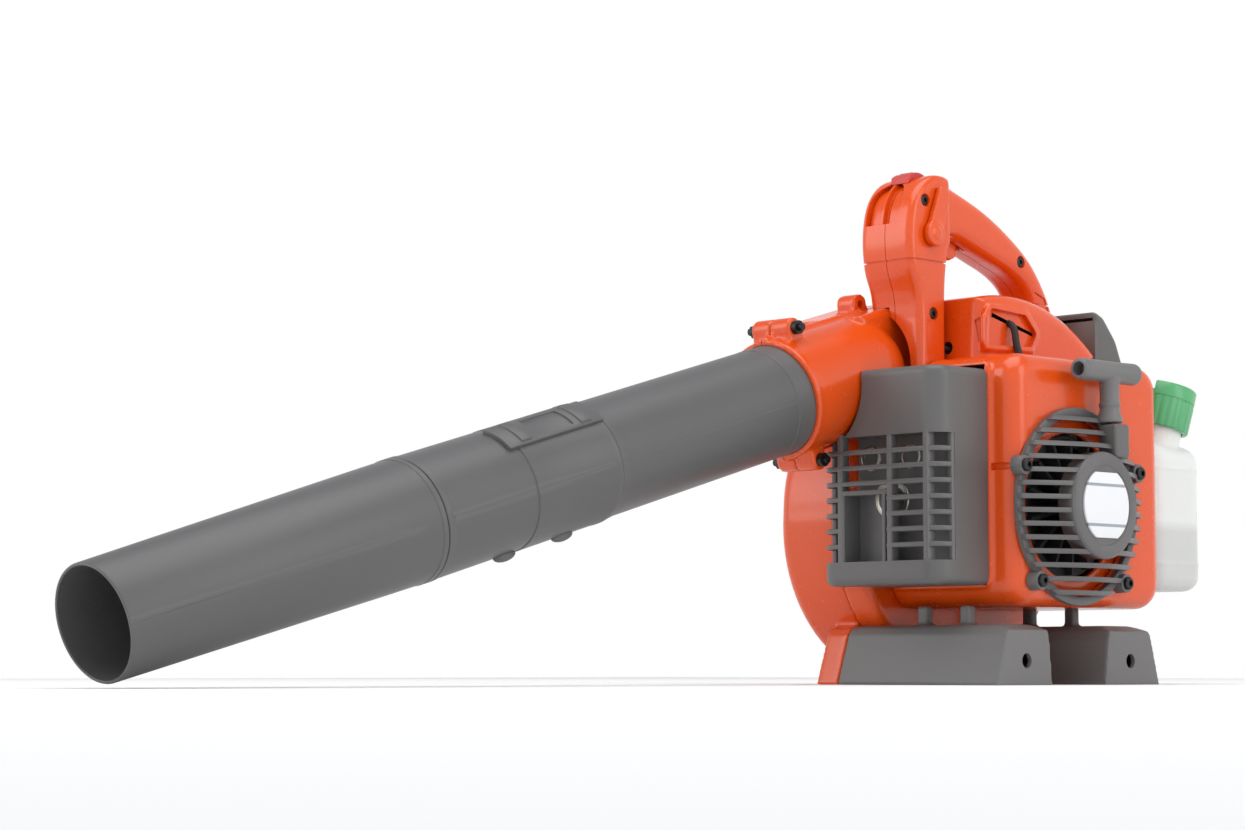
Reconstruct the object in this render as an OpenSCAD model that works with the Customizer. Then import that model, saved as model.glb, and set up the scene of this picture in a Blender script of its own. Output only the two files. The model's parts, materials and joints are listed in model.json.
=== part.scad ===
// Handheld petrol leaf blower: a two-stroke engine turns a radial fan in a volute,
// and the air leaves through a long three-piece tube in front.
// Forward is -Y, the starter side is +X and up is +Z. All sizes are in millimetres.

/* [Blower tube] */
// Outer radius of the upper tube
tube_r = 37.7; // [36.5:0.1:38]
// Outer radius of the nozzle at its mouth
mouth_r = 34; // [30:0.5:37]
// Wall of every tube
tube_wall = 2; // [1.6:0.1:2.2]
// Fall of the tube towards the mouth, in degrees
tube_tilt = 15.9; // [14:0.1:16]
// Length of upper tube that shows between the clamp and the sleeve
upper_len = 188; // [150:1:260]
// Length of the lower tube with its sleeve
lower_len = 149; // [120:1:200]
// Length of the nozzle
nozzle_len = 229; // [180:1:230]

/* [Fan] */
// Radius of the impeller
impeller_r = 88; // [80:1:89]
// Number of impeller blades
blades = 12; // [8:1:16]
// Radius of the volute at its tongue
tongue_r = 98; // [97:0.5:99]
// Wall of the volute
volute_wall = 3; // [2.5:0.1:3.2]

/* [Engine] */
// Cylinder bore
bore = 35; // [34.9:0.1:35.1]
// Piston stroke
stroke = 28.7; // [26:0.1:28.8]
// Cooling fins on the cylinder
fins = 10; // [8:1:11]
// Flywheel radius
flywheel_r = 48; // [44:1:49]

/* [Starter] */
// Outer radius of the starter housing
starter_r = 67; // [66:0.5:68]
// Slats across the starter housing
slats = 14; // [10:1:14]
// Radius at which the rope winds
rope_wind_r = 21.4; // [20.5:0.1:21.8]

/* [Body] */
// Wall of the shroud, the guard and the handle
wall = 2.6; // [2.2:0.1:3]
// Height of the feet
foot_h = 40; // [36:1:42]

/* [Hidden] */
$fn = 64;
SMALL = 0.01;

ORANGE = "orangered";
DARK = "dimgray";
STEEL = "silver";

// Crankshaft axis, which runs along X
crank_y = -8;
crank_z = 120;
// Middle of the cylinder along the crankshaft
cyl_x = 2;
crank_r = stroke / 2;
rod_len = 50;
pin_top_z = crank_z + crank_r + rod_len;

// Middle of the outlet rim, where the tube leaves the volute
rim = [-60, -168, 190];
seam_x = rim[0];
clamp_r = tube_r + 2.8;
clamp_len = 80;

// Volute, between its outer and its engine side
volute_x0 = -112;
volute_x1 = -38;
inlet_r = 52;
// Distance from the crankshaft to the tube axis, and where its foot lies along the tube
axis_arm = -(rim[1] - crank_y) * sin(tube_tilt) + (rim[2] - crank_z) * cos(tube_tilt);
axis_foot = (rim[1] - crank_y) * cos(tube_tilt) + (rim[2] - crank_z) * sin(tube_tilt);
exit_r = axis_arm + clamp_r;
exit_phi = 270 + tube_tilt;

// Handle
handle_x = -33;
// Starter rope
rope_r = 1.6;
rope_x = 84.5;
rope_y = crank_y + rope_wind_r;
eyelet_z = 176;
// Fuel cap
cap_at = [38, 138, 186];
cap_lean = 13;
// Trigger pivot
trigger_yz = [-13, 329];

// ---------- helpers ----------
function arc(c, r, a0, a1, n = 12) =
    [for (i = [0:n]) let (a = a0 + (a1 - a0) * i / n) c + r * [cos(a), sin(a)]];

module along_x(x0, x1) {
    translate([x0, 0, 0]) rotate([90, 0, 90]) linear_extrude(x1 - x0) children();
}

module on_crank() {
    translate([0, crank_y, crank_z]) children();
}

module disc_x(x0, x1, r, fn = 64) {
    translate([x0, 0, 0]) rotate([0, 90, 0]) cylinder(r = r, h = x1 - x0, $fn = fn);
}

module ring_x(x0, x1, r_out, r_in) {
    difference() {
        disc_x(x0, x1, r_out);
        disc_x(x0 - 1, x1 + 1, r_in);
    }
}

module tube_axis(t = 0) {
    translate(rim) rotate([90 + tube_tilt, 0, 0]) translate([0, 0, t]) children();
}

module round_box(from, to, r) {
    size = to - from;
    translate(from) linear_extrude(size[2]) translate([r, r]) union() {
        square([size[0] - 2 * r, size[1] - 2 * r]);
        for (p = [[0, -r], [0, size[1] - 2 * r]]) translate(p) square([size[0] - 2 * r, r]);
        for (p = [[-r, 0], [size[0] - 2 * r, 0]]) translate(p) square([r, size[1] - 2 * r]);
        for (x = [0, size[0] - 2 * r], y = [0, size[1] - 2 * r]) translate([x, y]) circle(r);
    }
}

// A round cord through a list of points, as one closed skin with flat ends
function unit(v) = v / norm(v);
function cord_side(d) = unit(cross(d, abs(d[0]) > 0.9 ? [0, 1, 0] : [1, 0, 0]));
function cord_ring(p, d, r, n) =
    let (s = cord_side(d), u = cross(d, s))
    [for (k = [0:n - 1]) p + r * (cos(360 * k / n) * s + sin(360 * k / n) * u)];
function cord_dir(pts, i) =
    unit(pts[min(i + 1, len(pts) - 1)] - pts[max(i - 1, 0)]);
function between(pts, u) =
    let (last = len(pts) - 1, i = min(floor(u), last - 1), f = u - i,
        a = pts[max(i - 1, 0)], b = pts[i], c = pts[i + 1], d = pts[min(i + 2, last)])
    0.5 * (2 * b + (c - a) * f + (2 * a - 5 * b + 4 * c - d) * f * f
        + (3 * b - a - 3 * c + d) * f * f * f);

module cord(points, r, steps = 4, n = 8) {
    count = (len(points) - 1) * steps;
    path = [for (i = [0:count]) between(points, i / steps)];
    skin = [for (i = [0:count]) each cord_ring(path[i], cord_dir(path, i), r, n)];
    walls = [for (i = [0:count - 1], k = [0:n - 1])
        let (a = i * n + k, b = i * n + (k + 1) % n) each [[a, b + n, b], [a, a + n, b + n]]];
    ends = [[for (k = [0:n - 1]) k], [for (k = [n - 1:-1:0]) count * n + k]];
    polyhedron(skin, concat(walls, ends), convexity = 4);
}

// ---------- blower tube ----------
lip_t = upper_len + 0.4;
lower_end_t = lip_t + lower_len;
sleeve_r = tube_r + 1;
spigot_r = tube_r - 1.5;
spigot_len = 40;
mouth_t = lower_end_t + 0.4 + nozzle_len;

module pipe(t0, t1, r0, r1, in0, in1) {
    tube_axis(t0) difference() {
        cylinder(h = t1 - t0, r1 = r0, r2 = r1);
        translate([0, 0, -SMALL]) cylinder(h = t1 - t0 + 2 * SMALL, r1 = in0, r2 = in1);
    }
}

module upper_tube() {
    inside = spigot_r - tube_wall;
    color(DARK) {
        pipe(-34, upper_len, tube_r, tube_r, inside, inside);
        pipe(upper_len - SMALL, upper_len + spigot_len, spigot_r, spigot_r, inside, inside);
    }
}

module latch_pad() {
    intersection() {
        difference() {
            cylinder(h = 82, r = sleeve_r + 3.2);
            translate([0, 0, -1]) cylinder(h = 84, r = sleeve_r - 1);
        }
        rotate(60) translate([0, -13, -1]) cube([60, 26, 84]);
    }
}

module lower_tube() {
    socket_r = spigot_r + 0.4;
    inside = spigot_r - tube_wall;
    socket_end = lip_t + spigot_len + 4;
    color(DARK) {
        pipe(lip_t, socket_end, sleeve_r, sleeve_r, socket_r, socket_r);
        pipe(socket_end - SMALL, lower_end_t, sleeve_r, sleeve_r, inside, inside);
        pipe(lower_end_t - SMALL, lower_end_t + 24, spigot_r, spigot_r, inside, inside);
        tube_axis(lip_t) latch_pad();
        for (t = [lip_t + 38, lip_t + 88])
            tube_axis(t) rotate(-72) translate([sleeve_r + 1.5, 0, 0]) sphere(r = 3.4);
    }
}

module nozzle() {
    socket_r = spigot_r + 0.4;
    start = lower_end_t + 0.4;
    neck = start + 28;
    neck_r = sleeve_r - (sleeve_r - mouth_r) * 28 / nozzle_len;
    color(DARK) {
        pipe(start, neck, sleeve_r, neck_r, socket_r, neck_r - tube_wall + 0.6);
        pipe(neck - SMALL, mouth_t, neck_r, mouth_r, neck_r - tube_wall, mouth_r - tube_wall);
    }
}

// ---------- volute and fan ----------
function volute_dir(phi) = [-cos(phi), -sin(phi)];
function volute_r(phi) = tongue_r + (exit_r - tongue_r) * max(phi, 0) / exit_phi;
function tube_point(t, up) = [crank_y, crank_z]
    + up * [-sin(tube_tilt), cos(tube_tilt)] + (t - axis_foot) * [-cos(tube_tilt), -sin(tube_tilt)];

module volute_profile(inset) {
    steps = 40;
    first_phi = -30;
    spiral = [for (i = [0:steps]) let (phi = first_phi + (exit_phi - first_phi) * i / steps)
        [crank_y, crank_z] + (volute_r(phi) - inset) * volute_dir(phi)];
    outlet = [tube_point(-clamp_len - inset, exit_r - inset),
        tube_point(-clamp_len - inset, axis_arm - clamp_r + inset)];
    polygon(concat(spiral, outlet));
}

module duct(r, extra, ball = true) {
    tube_axis(-clamp_len - 1) cylinder(r = r, h = clamp_len + 1 + extra);
    if (ball) tube_axis(-clamp_len) sphere(r = r);
}

module boss_pair(t, up, side) {
    tube_axis(t) translate([0, up, 0]) mirror([side < 0 ? 1 : 0, 0, 0]) {
        rotate([0, 90, 0]) cylinder(r = 7, h = 17);
        translate([0, up > 0 ? -12 : 0, -7]) cube([17, 12, 14]);
    }
}

boss_up = clamp_r + 5;
// Clamp bosses of both halves, and the rear boss of the outer half, as [t, up]
clamp_places = [[-17, boss_up], [-17, -boss_up]];
boss_places = concat(clamp_places, [[-108, boss_up]]);

module boss_holes(r) {
    for (b = boss_places) tube_axis(b[0]) translate([-30, b[1], 0]) rotate([0, 90, 0])
        cylinder(r = r, h = 60);
}

// One half of the volute: side is 1 for the engine side and -1 for the intake side
module volute_half(side) {
    x0 = side > 0 ? seam_x : volute_x0;
    x1 = side > 0 ? volute_x1 : seam_x;
    difference() {
        intersection() {
            union() {
                along_x(x0, x1) volute_profile(0);
                duct(clamp_r, 0, side > 0);
                for (b = side > 0 ? clamp_places : boss_places) boss_pair(b[0], b[1], side);
            }
            translate([side > 0 ? seam_x : seam_x - 200, -200, 0]) cube([200, 400, 300]);
        }
        along_x(side > 0 ? x0 - 1 : x0 + volute_wall, side > 0 ? x1 - volute_wall : x1 + 1)
            volute_profile(volute_wall);
        duct(tube_r + 0.3, 1, side > 0);
        boss_holes(2.7);
    }
}

module volute_inner() {
    color(ORANGE) difference() {
        volute_half(1);
        on_crank() disc_x(volute_x1 - 10, volute_x1 + 5, 20);
        on_crank() for (a = [45:90:315]) rotate([a, 0, 0]) translate([0, 29, 0])
            disc_x(volute_x1 - 10, volute_x1 + 5, 2.6);
    }
}

module volute_outer() {
    color(ORANGE) {
        difference() {
            volute_half(-1);
            on_crank() disc_x(volute_x0 - 5, volute_x0 + 10, inlet_r);
        }
        difference() {
            for (front = [true, false]) foot_shell(front, -79, seam_x);
            along_x(volute_x0 + 1, seam_x + 1) volute_profile(0.5);
        }
    }
}

grille_deep = 13;
module inlet_grille() {
    deep = grille_deep;
    color(DARK) on_crank() {
        ring_x(volute_x0 - deep, volute_x0, inlet_r + 10, inlet_r + 6.5);
        ring_x(volute_x0 - 3, volute_x0, inlet_r + 8, inlet_r);
        for (r = [12:12:inlet_r]) ring_x(volute_x0 - deep, volute_x0 - deep + 3.5, r + 1.5, r - 1.5);
        for (a = [0:22.5:359]) rotate([a, 0, 0]) translate([volute_x0 - deep, -1.2, 11])
            cube([3.2, 2.4, inlet_r - 3]);
        disc_x(volute_x0 - deep, volute_x0 - deep + 3, 11);
    }
}

module outlet_clamp_screw() {
    color(STEEL) for (up = [boss_up, -boss_up]) tube_axis(-17) translate([0, up, 0])
        rotate([0, 90, 0]) {
            translate([0, 0, -24]) cylinder(r = 2.5, h = 48);
            translate([0, 0, 17]) cylinder(r = 4.6, h = 4);
            translate([0, 0, -21]) cylinder(r = 4.6, h = 4, $fn = 6);
        }
}

module impeller() {
    back = -45;
    hub_end = -88;
    color("black") on_crank() difference() {
        union() {
            disc_x(back - 3, back, impeller_r);
            disc_x(hub_end, back - 1, 12);
            for (i = [0:blades - 1]) rotate([360 / blades * i, 0, 0]) along_x(-94, back - 2)
                intersection() {
                    translate([34, 30]) difference() {
                        circle(42);
                        circle(39.6);
                    }
                    translate([0, -20]) square([80, 20]);
                }
        }
        disc_x(-100, 0, 6.03);
        disc_x(-100, hub_end, 14);
        difference() {
            disc_x(-120, back - 2, 200);
            disc_x(-121, back - 1, impeller_r);
        }
    }
}

module impeller_nut() {
    color(STEEL) on_crank() difference() {
        disc_x(-95, -88, 9, 6);
        disc_x(-96, -80, 4.53);
    }
}

// ---------- crankcase and crank ----------
chamber_r = 26;

// Everything about the crankcase is mirrored about the middle of the cylinder
module case_half(side, reach) {
    translate([cyl_x, 0, 0]) mirror([side < 0 ? 1 : 0, 0, 0]) difference() {
        union() {
            disc_x(0, 17.5, chamber_r + 4.5);
            disc_x(17, reach, 18);
            translate([0, -25, 0]) cube([26, 50, 30]);
        }
        disc_x(-1, 14, chamber_r);
        disc_x(13, 26.5, 14);
        disc_x(26, reach - 1, 11);
        disc_x(reach - 2, reach + 1, 7.5);
        translate([0, 0, -SMALL]) cylinder(r = bore / 2 + 0.6, h = 31);
    }
}

module crankcase_right() {
    color("lightgray") on_crank() {
        case_half(-1, 33.6);
        difference() {
            ring_x(volute_x1, volute_x1 + 4, 35, 17.9);
            for (a = [45:90:315]) rotate([a, 0, 0]) translate([0, 29, 0]) disc_x(-50, 0, 2.6);
        }
        ring_x(volute_x1 + 4 - SMALL, volute_x1 + 8, 19, 17.9);
        ring_x(volute_x1, volute_x1 + 7, 18, 7.5);
    }
}

module crankcase_left() {
    color("lightgray") on_crank() case_half(1, 33.6);
}

module crankshaft() {
    color(STEEL) on_crank() {
        disc_x(-88, -10.5, 6);
        disc_x(-98, -87.9, 4.5);
        disc_x(-11, -4, 20.5);
        disc_x(8, 15, 20.5);
        disc_x(14.5, 44, 6);
        disc_x(43.9, 70, 5);
        disc_x(69.9, 78, 4);
    }
}

module main_bearings() {
    color(STEEL) on_crank() {
        ring_x(-24, -16, 13.95, 6.05);
        ring_x(20, 28, 13.95, 6.05);
    }
}

module shaft_seals() {
    color("saddlebrown") on_crank() {
        ring_x(-30, -25, 10.95, 6.05);
        ring_x(29, 34, 10.95, 6.05);
    }
}

module crank_pin() {
    color(STEEL) on_crank() translate([0, 0, crank_r]) disc_x(-3.6, 7.6, 5);
}

module con_rod() {
    color(STEEL) difference() {
        union() {
            translate([0, crank_y, crank_z + crank_r]) disc_x(cyl_x - 5, cyl_x + 5, 9.4);
            translate([0, crank_y, pin_top_z]) disc_x(cyl_x - 4, cyl_x + 4, 7);
            translate([cyl_x - 3, crank_y - 4, crank_z + crank_r]) cube([6, 8, rod_len]);
        }
        translate([0, crank_y, crank_z + crank_r]) disc_x(cyl_x - 6, cyl_x + 6, 5.03);
        translate([0, crank_y, pin_top_z]) disc_x(cyl_x - 6, cyl_x + 6, 4.03);
    }
}

module piston() {
    r = bore / 2 - 0.1;
    color("lightgray") translate([cyl_x, crank_y, pin_top_z]) difference() {
        union() {
            difference() {
                translate([0, 0, -14]) cylinder(r = r, h = 26);
                translate([0, 0, -15]) cylinder(r = r - 2.4, h = 22);
            }
            for (x = [-r + 1.5, 5]) disc_x(x, x + 10.8, 6.5);
        }
        disc_x(-20, 20, 4.03);
        translate([0, 0, 8]) difference() {
            cylinder(r = r + 1, h = 1.6);
            translate([0, 0, -1]) cylinder(r = r - 1.2, h = 4);
        }
    }
}

module piston_ring() {
    color(STEEL) translate([cyl_x, crank_y, pin_top_z + 8.1]) difference() {
        cylinder(r = bore / 2 - 0.03, h = 1.4);
        translate([0, 0, -1]) cylinder(r = bore / 2 - 1.2, h = 4);
    }
}

module wrist_pin() {
    color(STEEL) translate([0, crank_y, pin_top_z]) disc_x(cyl_x - 15, cyl_x + 15, 4);
}

fin_r = 33;

module engine_cylinder() {
    color("gainsboro") translate([cyl_x, crank_y, crank_z]) difference() {
        union() {
            translate([-25, -25, 30]) cube([50, 50, 5]);
            translate([0, 0, 30]) cylinder(r = bore / 2 + 3.5, h = 62);
            for (i = [0:fins - 1]) translate([0, 0, 44 + 5.2 * i]) cylinder(r = fin_r, h = 1.6);
            translate([-15, -36, 46]) cube([30, 20, 18]);
            translate([-33, -37, 26]) cube([50, 5, 42]);
            for (y = [-18, 2]) translate([18, y, 52]) cube([20, 8, 16]);
            translate([-13, 16, 38]) cube([26, 18, 16]);
        }
        translate([0, 0, 29]) cylinder(r = bore / 2, h = 49);
        translate([0, 0, 77]) cylinder(r = 14, h = 6);
        translate([0, 0, 82]) cylinder(r = 7, h = 12);
        translate([-8, -40, 50]) cube([16, 25, 10]);
        for (x = [-17.5, 17.5]) translate([muffler_x - cyl_x + x, -40, 32]) rotate([-90, 0, 0])
            cylinder(r = 2.7, h = 12);
        translate([0, 40, 46]) rotate([90, 0, 0]) cylinder(r = 6.5, h = 24);
    }
}

module spark_plug() {
    color("white") translate([cyl_x, crank_y, crank_z]) {
        translate([0, 0, 82]) cylinder(r = 6.9, h = 11);
        translate([0, 0, 92.6]) cylinder(r = 11, h = 7, $fn = 6);
        translate([0, 0, 99]) cylinder(r = 5, h = 16);
        translate([0, 0, 114]) cylinder(r = 3, h = 8);
    }
}

boot_lead_up = 129;
module plug_boot() {
    color("black") translate([cyl_x, crank_y, crank_z + 103]) difference() {
        union() {
            cylinder(r = 8.5, h = 32);
            for (i = [0:5]) translate([0, 0, 3 + 3.2 * i]) cylinder(r = 9.6, h = 1.5);
            translate([0, 0, boot_lead_up - 103]) disc_x(6, 12, 4);
        }
        translate([0, 0, -1]) cylinder(r = 5.05, h = 13.1);
        translate([0, 0, 12]) cylinder(r = 3.05, h = 8);
    }
}

coil_top = 75;
module ignition_coil() {
    color("black") on_crank() difference() {
        union() {
            translate([48, -15, 40]) cube([14, 30, coil_top - 40]);
            for (y = [-14, 6]) translate([0, y, 60]) disc_x(40, 49, 3.5);
        }
        disc_x(40, 70, flywheel_r + 0.7);
        translate([40, -6, 30]) cube([30, 12, 30]);
    }
}

module ignition_lead() {
    up = crank_z + boot_lead_up;
    color("black") cord([[cyl_x + 12.5, crank_y, up], [17.5, crank_y, up - 0.4], [20.5, -7.5, up - 5],
        [22, -7, up - 16], [25.5, -5, 221.5], [31, -4, 216.5], [37, -4.5, 215.3],
        [44, -6, 212], [51, -8, 208],
        [54.6, -8, 204], [55, -8, 199], [55, -8, crank_z + coil_top + 0.1]], 2.5, 3);
}

module flywheel() {
    color("dimgray") on_crank() difference() {
        union() {
            disc_x(48, 54, flywheel_r);
            ring_x(53, 62, flywheel_r, flywheel_r - 6);
            disc_x(44, 70, 12);
            for (a = [0:360 / 14:359]) rotate([a, 0, 0]) translate([53, -1.2, 11])
                cube([15, 2.4, flywheel_r - 13]);
        }
        disc_x(40, 80, 5.03);
    }
}

module flywheel_nut() {
    color(STEEL) on_crank() difference() {
        disc_x(70, 76, 8, 6);
        disc_x(60, 80, 4.03);
    }
}

// ---------- recoil starter ----------
starter_x0 = 70;
starter_face = 96;
// Screw bosses, as [y, z] from the crankshaft
starter_bosses = [[-64, 25], [64, 25], [-48, -51], [48, -51]];

module dish(r_rim, x_rim, r_mid, x_mid, thick) {
    rotate([0, 90, 0]) rotate_extrude() polygon([[r_mid, x_mid - thick], [r_rim, x_rim - thick],
        [r_rim, x_rim], [r_mid, x_mid]]);
}

module starter_housing() {
    pitch = (2 * starter_r - 8) / slats;
    color(DARK) on_crank() difference() {
        union() {
            ring_x(starter_x0, 78, starter_r, starter_r - 6);
            intersection() {
                dish(starter_r, 78, 34, starter_face - 1, 4);
                for (i = [0:slats - 1]) translate([60, -80, pitch * (i - (slats - 1) / 2) - 1.5])
                    cube([50, 160, 3]);
            }
            disc_x(starter_face - 3, starter_face, 36);
            ring_x(starter_face - 13, starter_face - 2, 36, 33);
            disc_x(80, starter_face - 2, 5);
            for (b = starter_bosses) translate([0, b[0], b[1]]) disc_x(starter_x0, 78, 6.5);
            translate([starter_face - 16, rope_wind_r - 8, 33]) cube([15, 16, eyelet_z - crank_z - 33]);
        }
        translate([rope_x, rope_wind_r, 0]) cylinder(r = 2.6, h = 80);
        translate([rope_x, rope_wind_r, eyelet_z - crank_z]) cylinder(r = 10, h = 40);
        for (b = starter_bosses) translate([0, b[0], b[1]]) {
            disc_x(60, 79, 2.4);
            disc_x(78, 90, 5.2);
        }
    }
}

module starter_pulley() {
    color("white") on_crank() difference() {
        union() {
            disc_x(81, 82.5, 25);
            disc_x(82, 87, 19.8);
            disc_x(86.5, 88, 25);
        }
        difference() {
            disc_x(83.5, 90, 17);
            disc_x(80, 91, 7.5);
        }
        disc_x(70, 95, 5.06);
    }
}

module recoil_spring() {
    turns = 4;
    count = turns * 24;
    function coil_point(i, off) = (8.6 + off + 6.6 * i / count) * [cos(15 * i), sin(15 * i)];
    color(STEEL) on_crank() along_x(84, 87.5) polygon(concat(
        [for (i = [0:count]) coil_point(i, 0)], [for (i = [count:-1:0]) coil_point(i, 0.7)]));
}

module rope_winding() {
    color("white") on_crank() ring_x(82.9, 86.1, rope_wind_r + rope_r, 19.9);
}

rope_from = crank_z + 14.5;
grip_z = 212;
module starter_rope() {
    color("white") translate([rope_x, rope_y, rope_from]) cylinder(r = rope_r, h = 198 - rope_from);
}

module starter_grip() {
    color(DARK) translate([rope_x, rope_y, 0]) difference() {
        union() {
            translate([0, 30, grip_z]) rotate([90, 0, 0]) cylinder(r = 7.6, h = 65);
            translate([0, 0, eyelet_z + 1]) cylinder(r1 = 9, r2 = 6.5, h = 9);
            translate([0, 0, eyelet_z + 9]) cylinder(r = 6.5, h = grip_z - eyelet_z - 9);
        }
        translate([0, -25, grip_z]) rotate([90, 0, 0]) cylinder(r = 4.6, h = 20);
        translate([0, 0, eyelet_z]) cylinder(r = rope_r + 0.02, h = 198 - eyelet_z);
    }
}

badge_t = 0.8;
module starter_badge() {
    color("white") on_crank() along_x(starter_face, starter_face + badge_t) intersection() {
        circle(25);
        square([60, 44], center = true);
    }
}

// Handle screws, as [x of the head, y, z]
handle_screw_heads = [[-10, -66, 332], [-17, 50, 301], [-10, -58, 254]];

module housing_screws() {
    color(STEEL) {
        on_crank() for (b = starter_bosses) translate([0, b[0], b[1]]) {
            disc_x(starter_x0, 78, 2.35);
            disc_x(78, 81, 4.4);
        }
        for (s = handle_screw_heads) translate([0, s[1], s[2]]) {
            disc_x(s[0] - 2, s[0] - 0.4, 3.6);
            disc_x(s[0] - 16, s[0] - 1.9, 2);
        }
    }
}

// ---------- shroud, muffler and guard ----------
shroud_y0 = -72;
shroud_y1 = 95;
shroud_z0 = 52;
shroud_z1 = 222;
dome_x1 = 18;

module shroud_low(d) {
    from = [shroud_y0 + d, shroud_z0 + d];
    to = [shroud_y1 - d, shroud_z1 - d];
    r = 18 - d;
    polygon(concat(arc([to[0] - r, to[1] - r], r, 0, 90), arc([from[0] + r, to[1] - r], r, 90, 180),
        arc([from[0] + r, from[1] + r], r, 180, 270), arc([to[0] - r, from[1] + r], r, 270, 360)));
}

// The dome under the finger gap
module dome_profile(d) {
    polygon(concat([[shroud_y1 - d, 190 + d], [shroud_y1 - d, 235.3 - d]],
        arc([0, 120], 150 - d, 52, 104, 16), [[-41 + d, 190 + d]]));
}

module shroud_body(d) {
    intersection() {
        along_x(volute_x1 - (d > 0 ? 1 : 0), starter_x0 - d) shroud_low(d);
        round_box([-120, shroud_y0 + d, 0], [starter_x0 - d, 200, 300], 18 - d);
    }
    along_x(volute_x1 - (d > 0 ? 1 : 0), dome_x1 - d) dome_profile(d);
}

module engine_shroud() {
    color(ORANGE) difference() {
        shroud_body(0);
        shroud_body(wall);
        on_crank() disc_x(50, 80, 60);
        translate([-40, shroud_y0 - 5, 66]) cube([86, 25, 148]);
        translate([-60, -74, 212]) cube([51, 32, 60]);
        translate([-34, 85, 125]) cube([66, 20, 107]);
        // Window over the spark plug
        along_x(-5, dome_x1 + 4)
            polygon([[-37, 232], [-37, 250], [-30, 258], [8, 256], [20, 244], [14, 234]]);
        duct(clamp_r + 0.3, 0);
        translate([-14, -50, 232]) rotate([-90, 0, 0]) cylinder(r = 4.5, h = 14);
        // Where the ignition lead goes down through the top
        hull() for (x = [24, 31]) translate([x, -4.5, 216]) cylinder(r = 4.2, h = 10);
        on_crank() for (b = starter_bosses) translate([0, b[0], b[1]]) disc_x(50, 80, 2.6);
    }
}

muffler_x = -6;
muffler_y0 = -108;
muffler_split = -76;
muffler_y1 = -45;

module muffler_outline(d) {
    // Seen from the front: straight sides above, drawn in towards the bottom
    polygon([[-11, 186 - d], [-29 + d, 165 - d], [-29 + d, 132], [-20 + d, 98 + d], [20 - d, 98 + d],
        [29 - d, 132], [29 - d, 186 - d]]);
}

module muffler_slab(y0, y1, d) {
    translate([muffler_x, y1, 0]) rotate([90, 0, 0]) linear_extrude(y1 - y0) muffler_outline(d);
}

module muffler_holes(r) {
    for (x = [-17.5, 17.5]) translate([muffler_x + x, -120, 152]) rotate([-90, 0, 0])
        cylinder(r = r, h = 90);
}

module muffler_shell() {
    color("lightgray") difference() {
        union() {
            muffler_slab(muffler_split, muffler_y1, 0);
            muffler_slab(muffler_split, muffler_split + 2, -2.5);
        }
        muffler_slab(muffler_split - 1, muffler_y1 - 1.5, 1.5);
        muffler_holes(2.7);
        translate([-6, -50, 170]) cube([16, 20, 10]);
    }
}

module muffler_cover() {
    color("lightgray") difference() {
        union() {
            muffler_slab(muffler_y0, muffler_split, 0);
            muffler_slab(muffler_split - 2, muffler_split, -2.5);
        }
        difference() {
            muffler_slab(muffler_y0 + 1.5, muffler_split + 1, 1.5);
            for (x = [-17.5, 17.5]) translate([muffler_x + x, muffler_y0, 152]) rotate([-90, 0, 0])
                cylinder(r = 8, h = 30);
        }
        for (x = [-17.5, 17.5]) translate([muffler_x + x, muffler_y0 - 1, 152]) rotate([-90, 0, 0])
            cylinder(r = 6.4, h = 24);
        muffler_holes(2.7);
        translate([muffler_x - 5, muffler_y0 - 1, 118]) cube([10, 4, 5]);
    }
}

module muffler_bolts() {
    color(STEEL) for (x = [-17.5, 17.5]) translate([muffler_x + x, 0, 152]) rotate([-90, 0, 0]) {
        translate([0, 0, -90]) cylinder(r = 2.6, h = 50);
        translate([0, 0, -89.4]) cylinder(r = 5, h = 4, $fn = 6);
    }
}

guard_from = [-57, -126, 66];
guard_to = [48, -72, 211];
window_z = [82, 166];

module guard_block(d) {
    round_box(guard_from + [d, d, d], guard_to + [-d, 40, -d], 14 - d);
}

module muffler_guard() {
    bar_pitch = 10.5;
    color(DARK) difference() {
        union() {
            difference() {
                guard_block(0);
                guard_block(3);
                translate([guard_from[0] - 1, guard_from[1] - 1, window_z[0]])
                    cube([101, 18, window_z[1] - window_z[0]]);
            }
            intersection() {
                difference() {
                    guard_block(0);
                    guard_block(4);
                }
                union() {
                    for (z = [window_z[0] + bar_pitch:bar_pitch:window_z[1] - 5])
                        translate([-80, -130, z - 1.6]) cube([140, 22, 3.2]);
                    for (x = [-40, 3, 34]) translate([x, -130, window_z[0] - 1])
                        cube([4.5, 10, window_z[1] - window_z[0] + 2]);
                    translate([guard_from[0] - 1, -112, window_z[0] - 1])
                        cube([6, 5, window_z[1] - window_z[0] + 2]);
                }
            }
        }
        translate([-35.5, -130, window_z[0]]) cube([38.5, 20, 46]);
        translate([-80, guard_to[1], 0]) cube([200, 60, 300]);
        translate([0, 0, -2]) tube_axis(-200) cylinder(r = clamp_r + 2, h = 300);
        translate([-80, -109, 0]) cube([45, 60, 300]);
        on_crank() disc_x(volute_x0, volute_x1 + 0.5, tongue_r + 2);
    }
}

// ---------- handle and controls ----------
handle_out = [[-72, 214], [-72, 262], [-80, 285], [-82, 310], [-77, 332], [-64, 347], [-46, 352],
    [-24, 346], [12, 334], [42, 319], [65, 303], [81, 284], [90.5, 266], [94.2, 246], [94.4, 226]];
handle_in = [[70, 226], [69, 258], [61, 279], [44, 291], [20, 299], [0, 305], [-22, 311],
    [-35, 307], [-40, 294], [-43, 266], [-43, 214]];

function smooth(points, steps) =
    [for (i = [0:(len(points) - 1) * steps]) between(points, i / steps)];
function outward(a, b) = let (d = unit(b - a)) [-d[1], d[0]];
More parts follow.
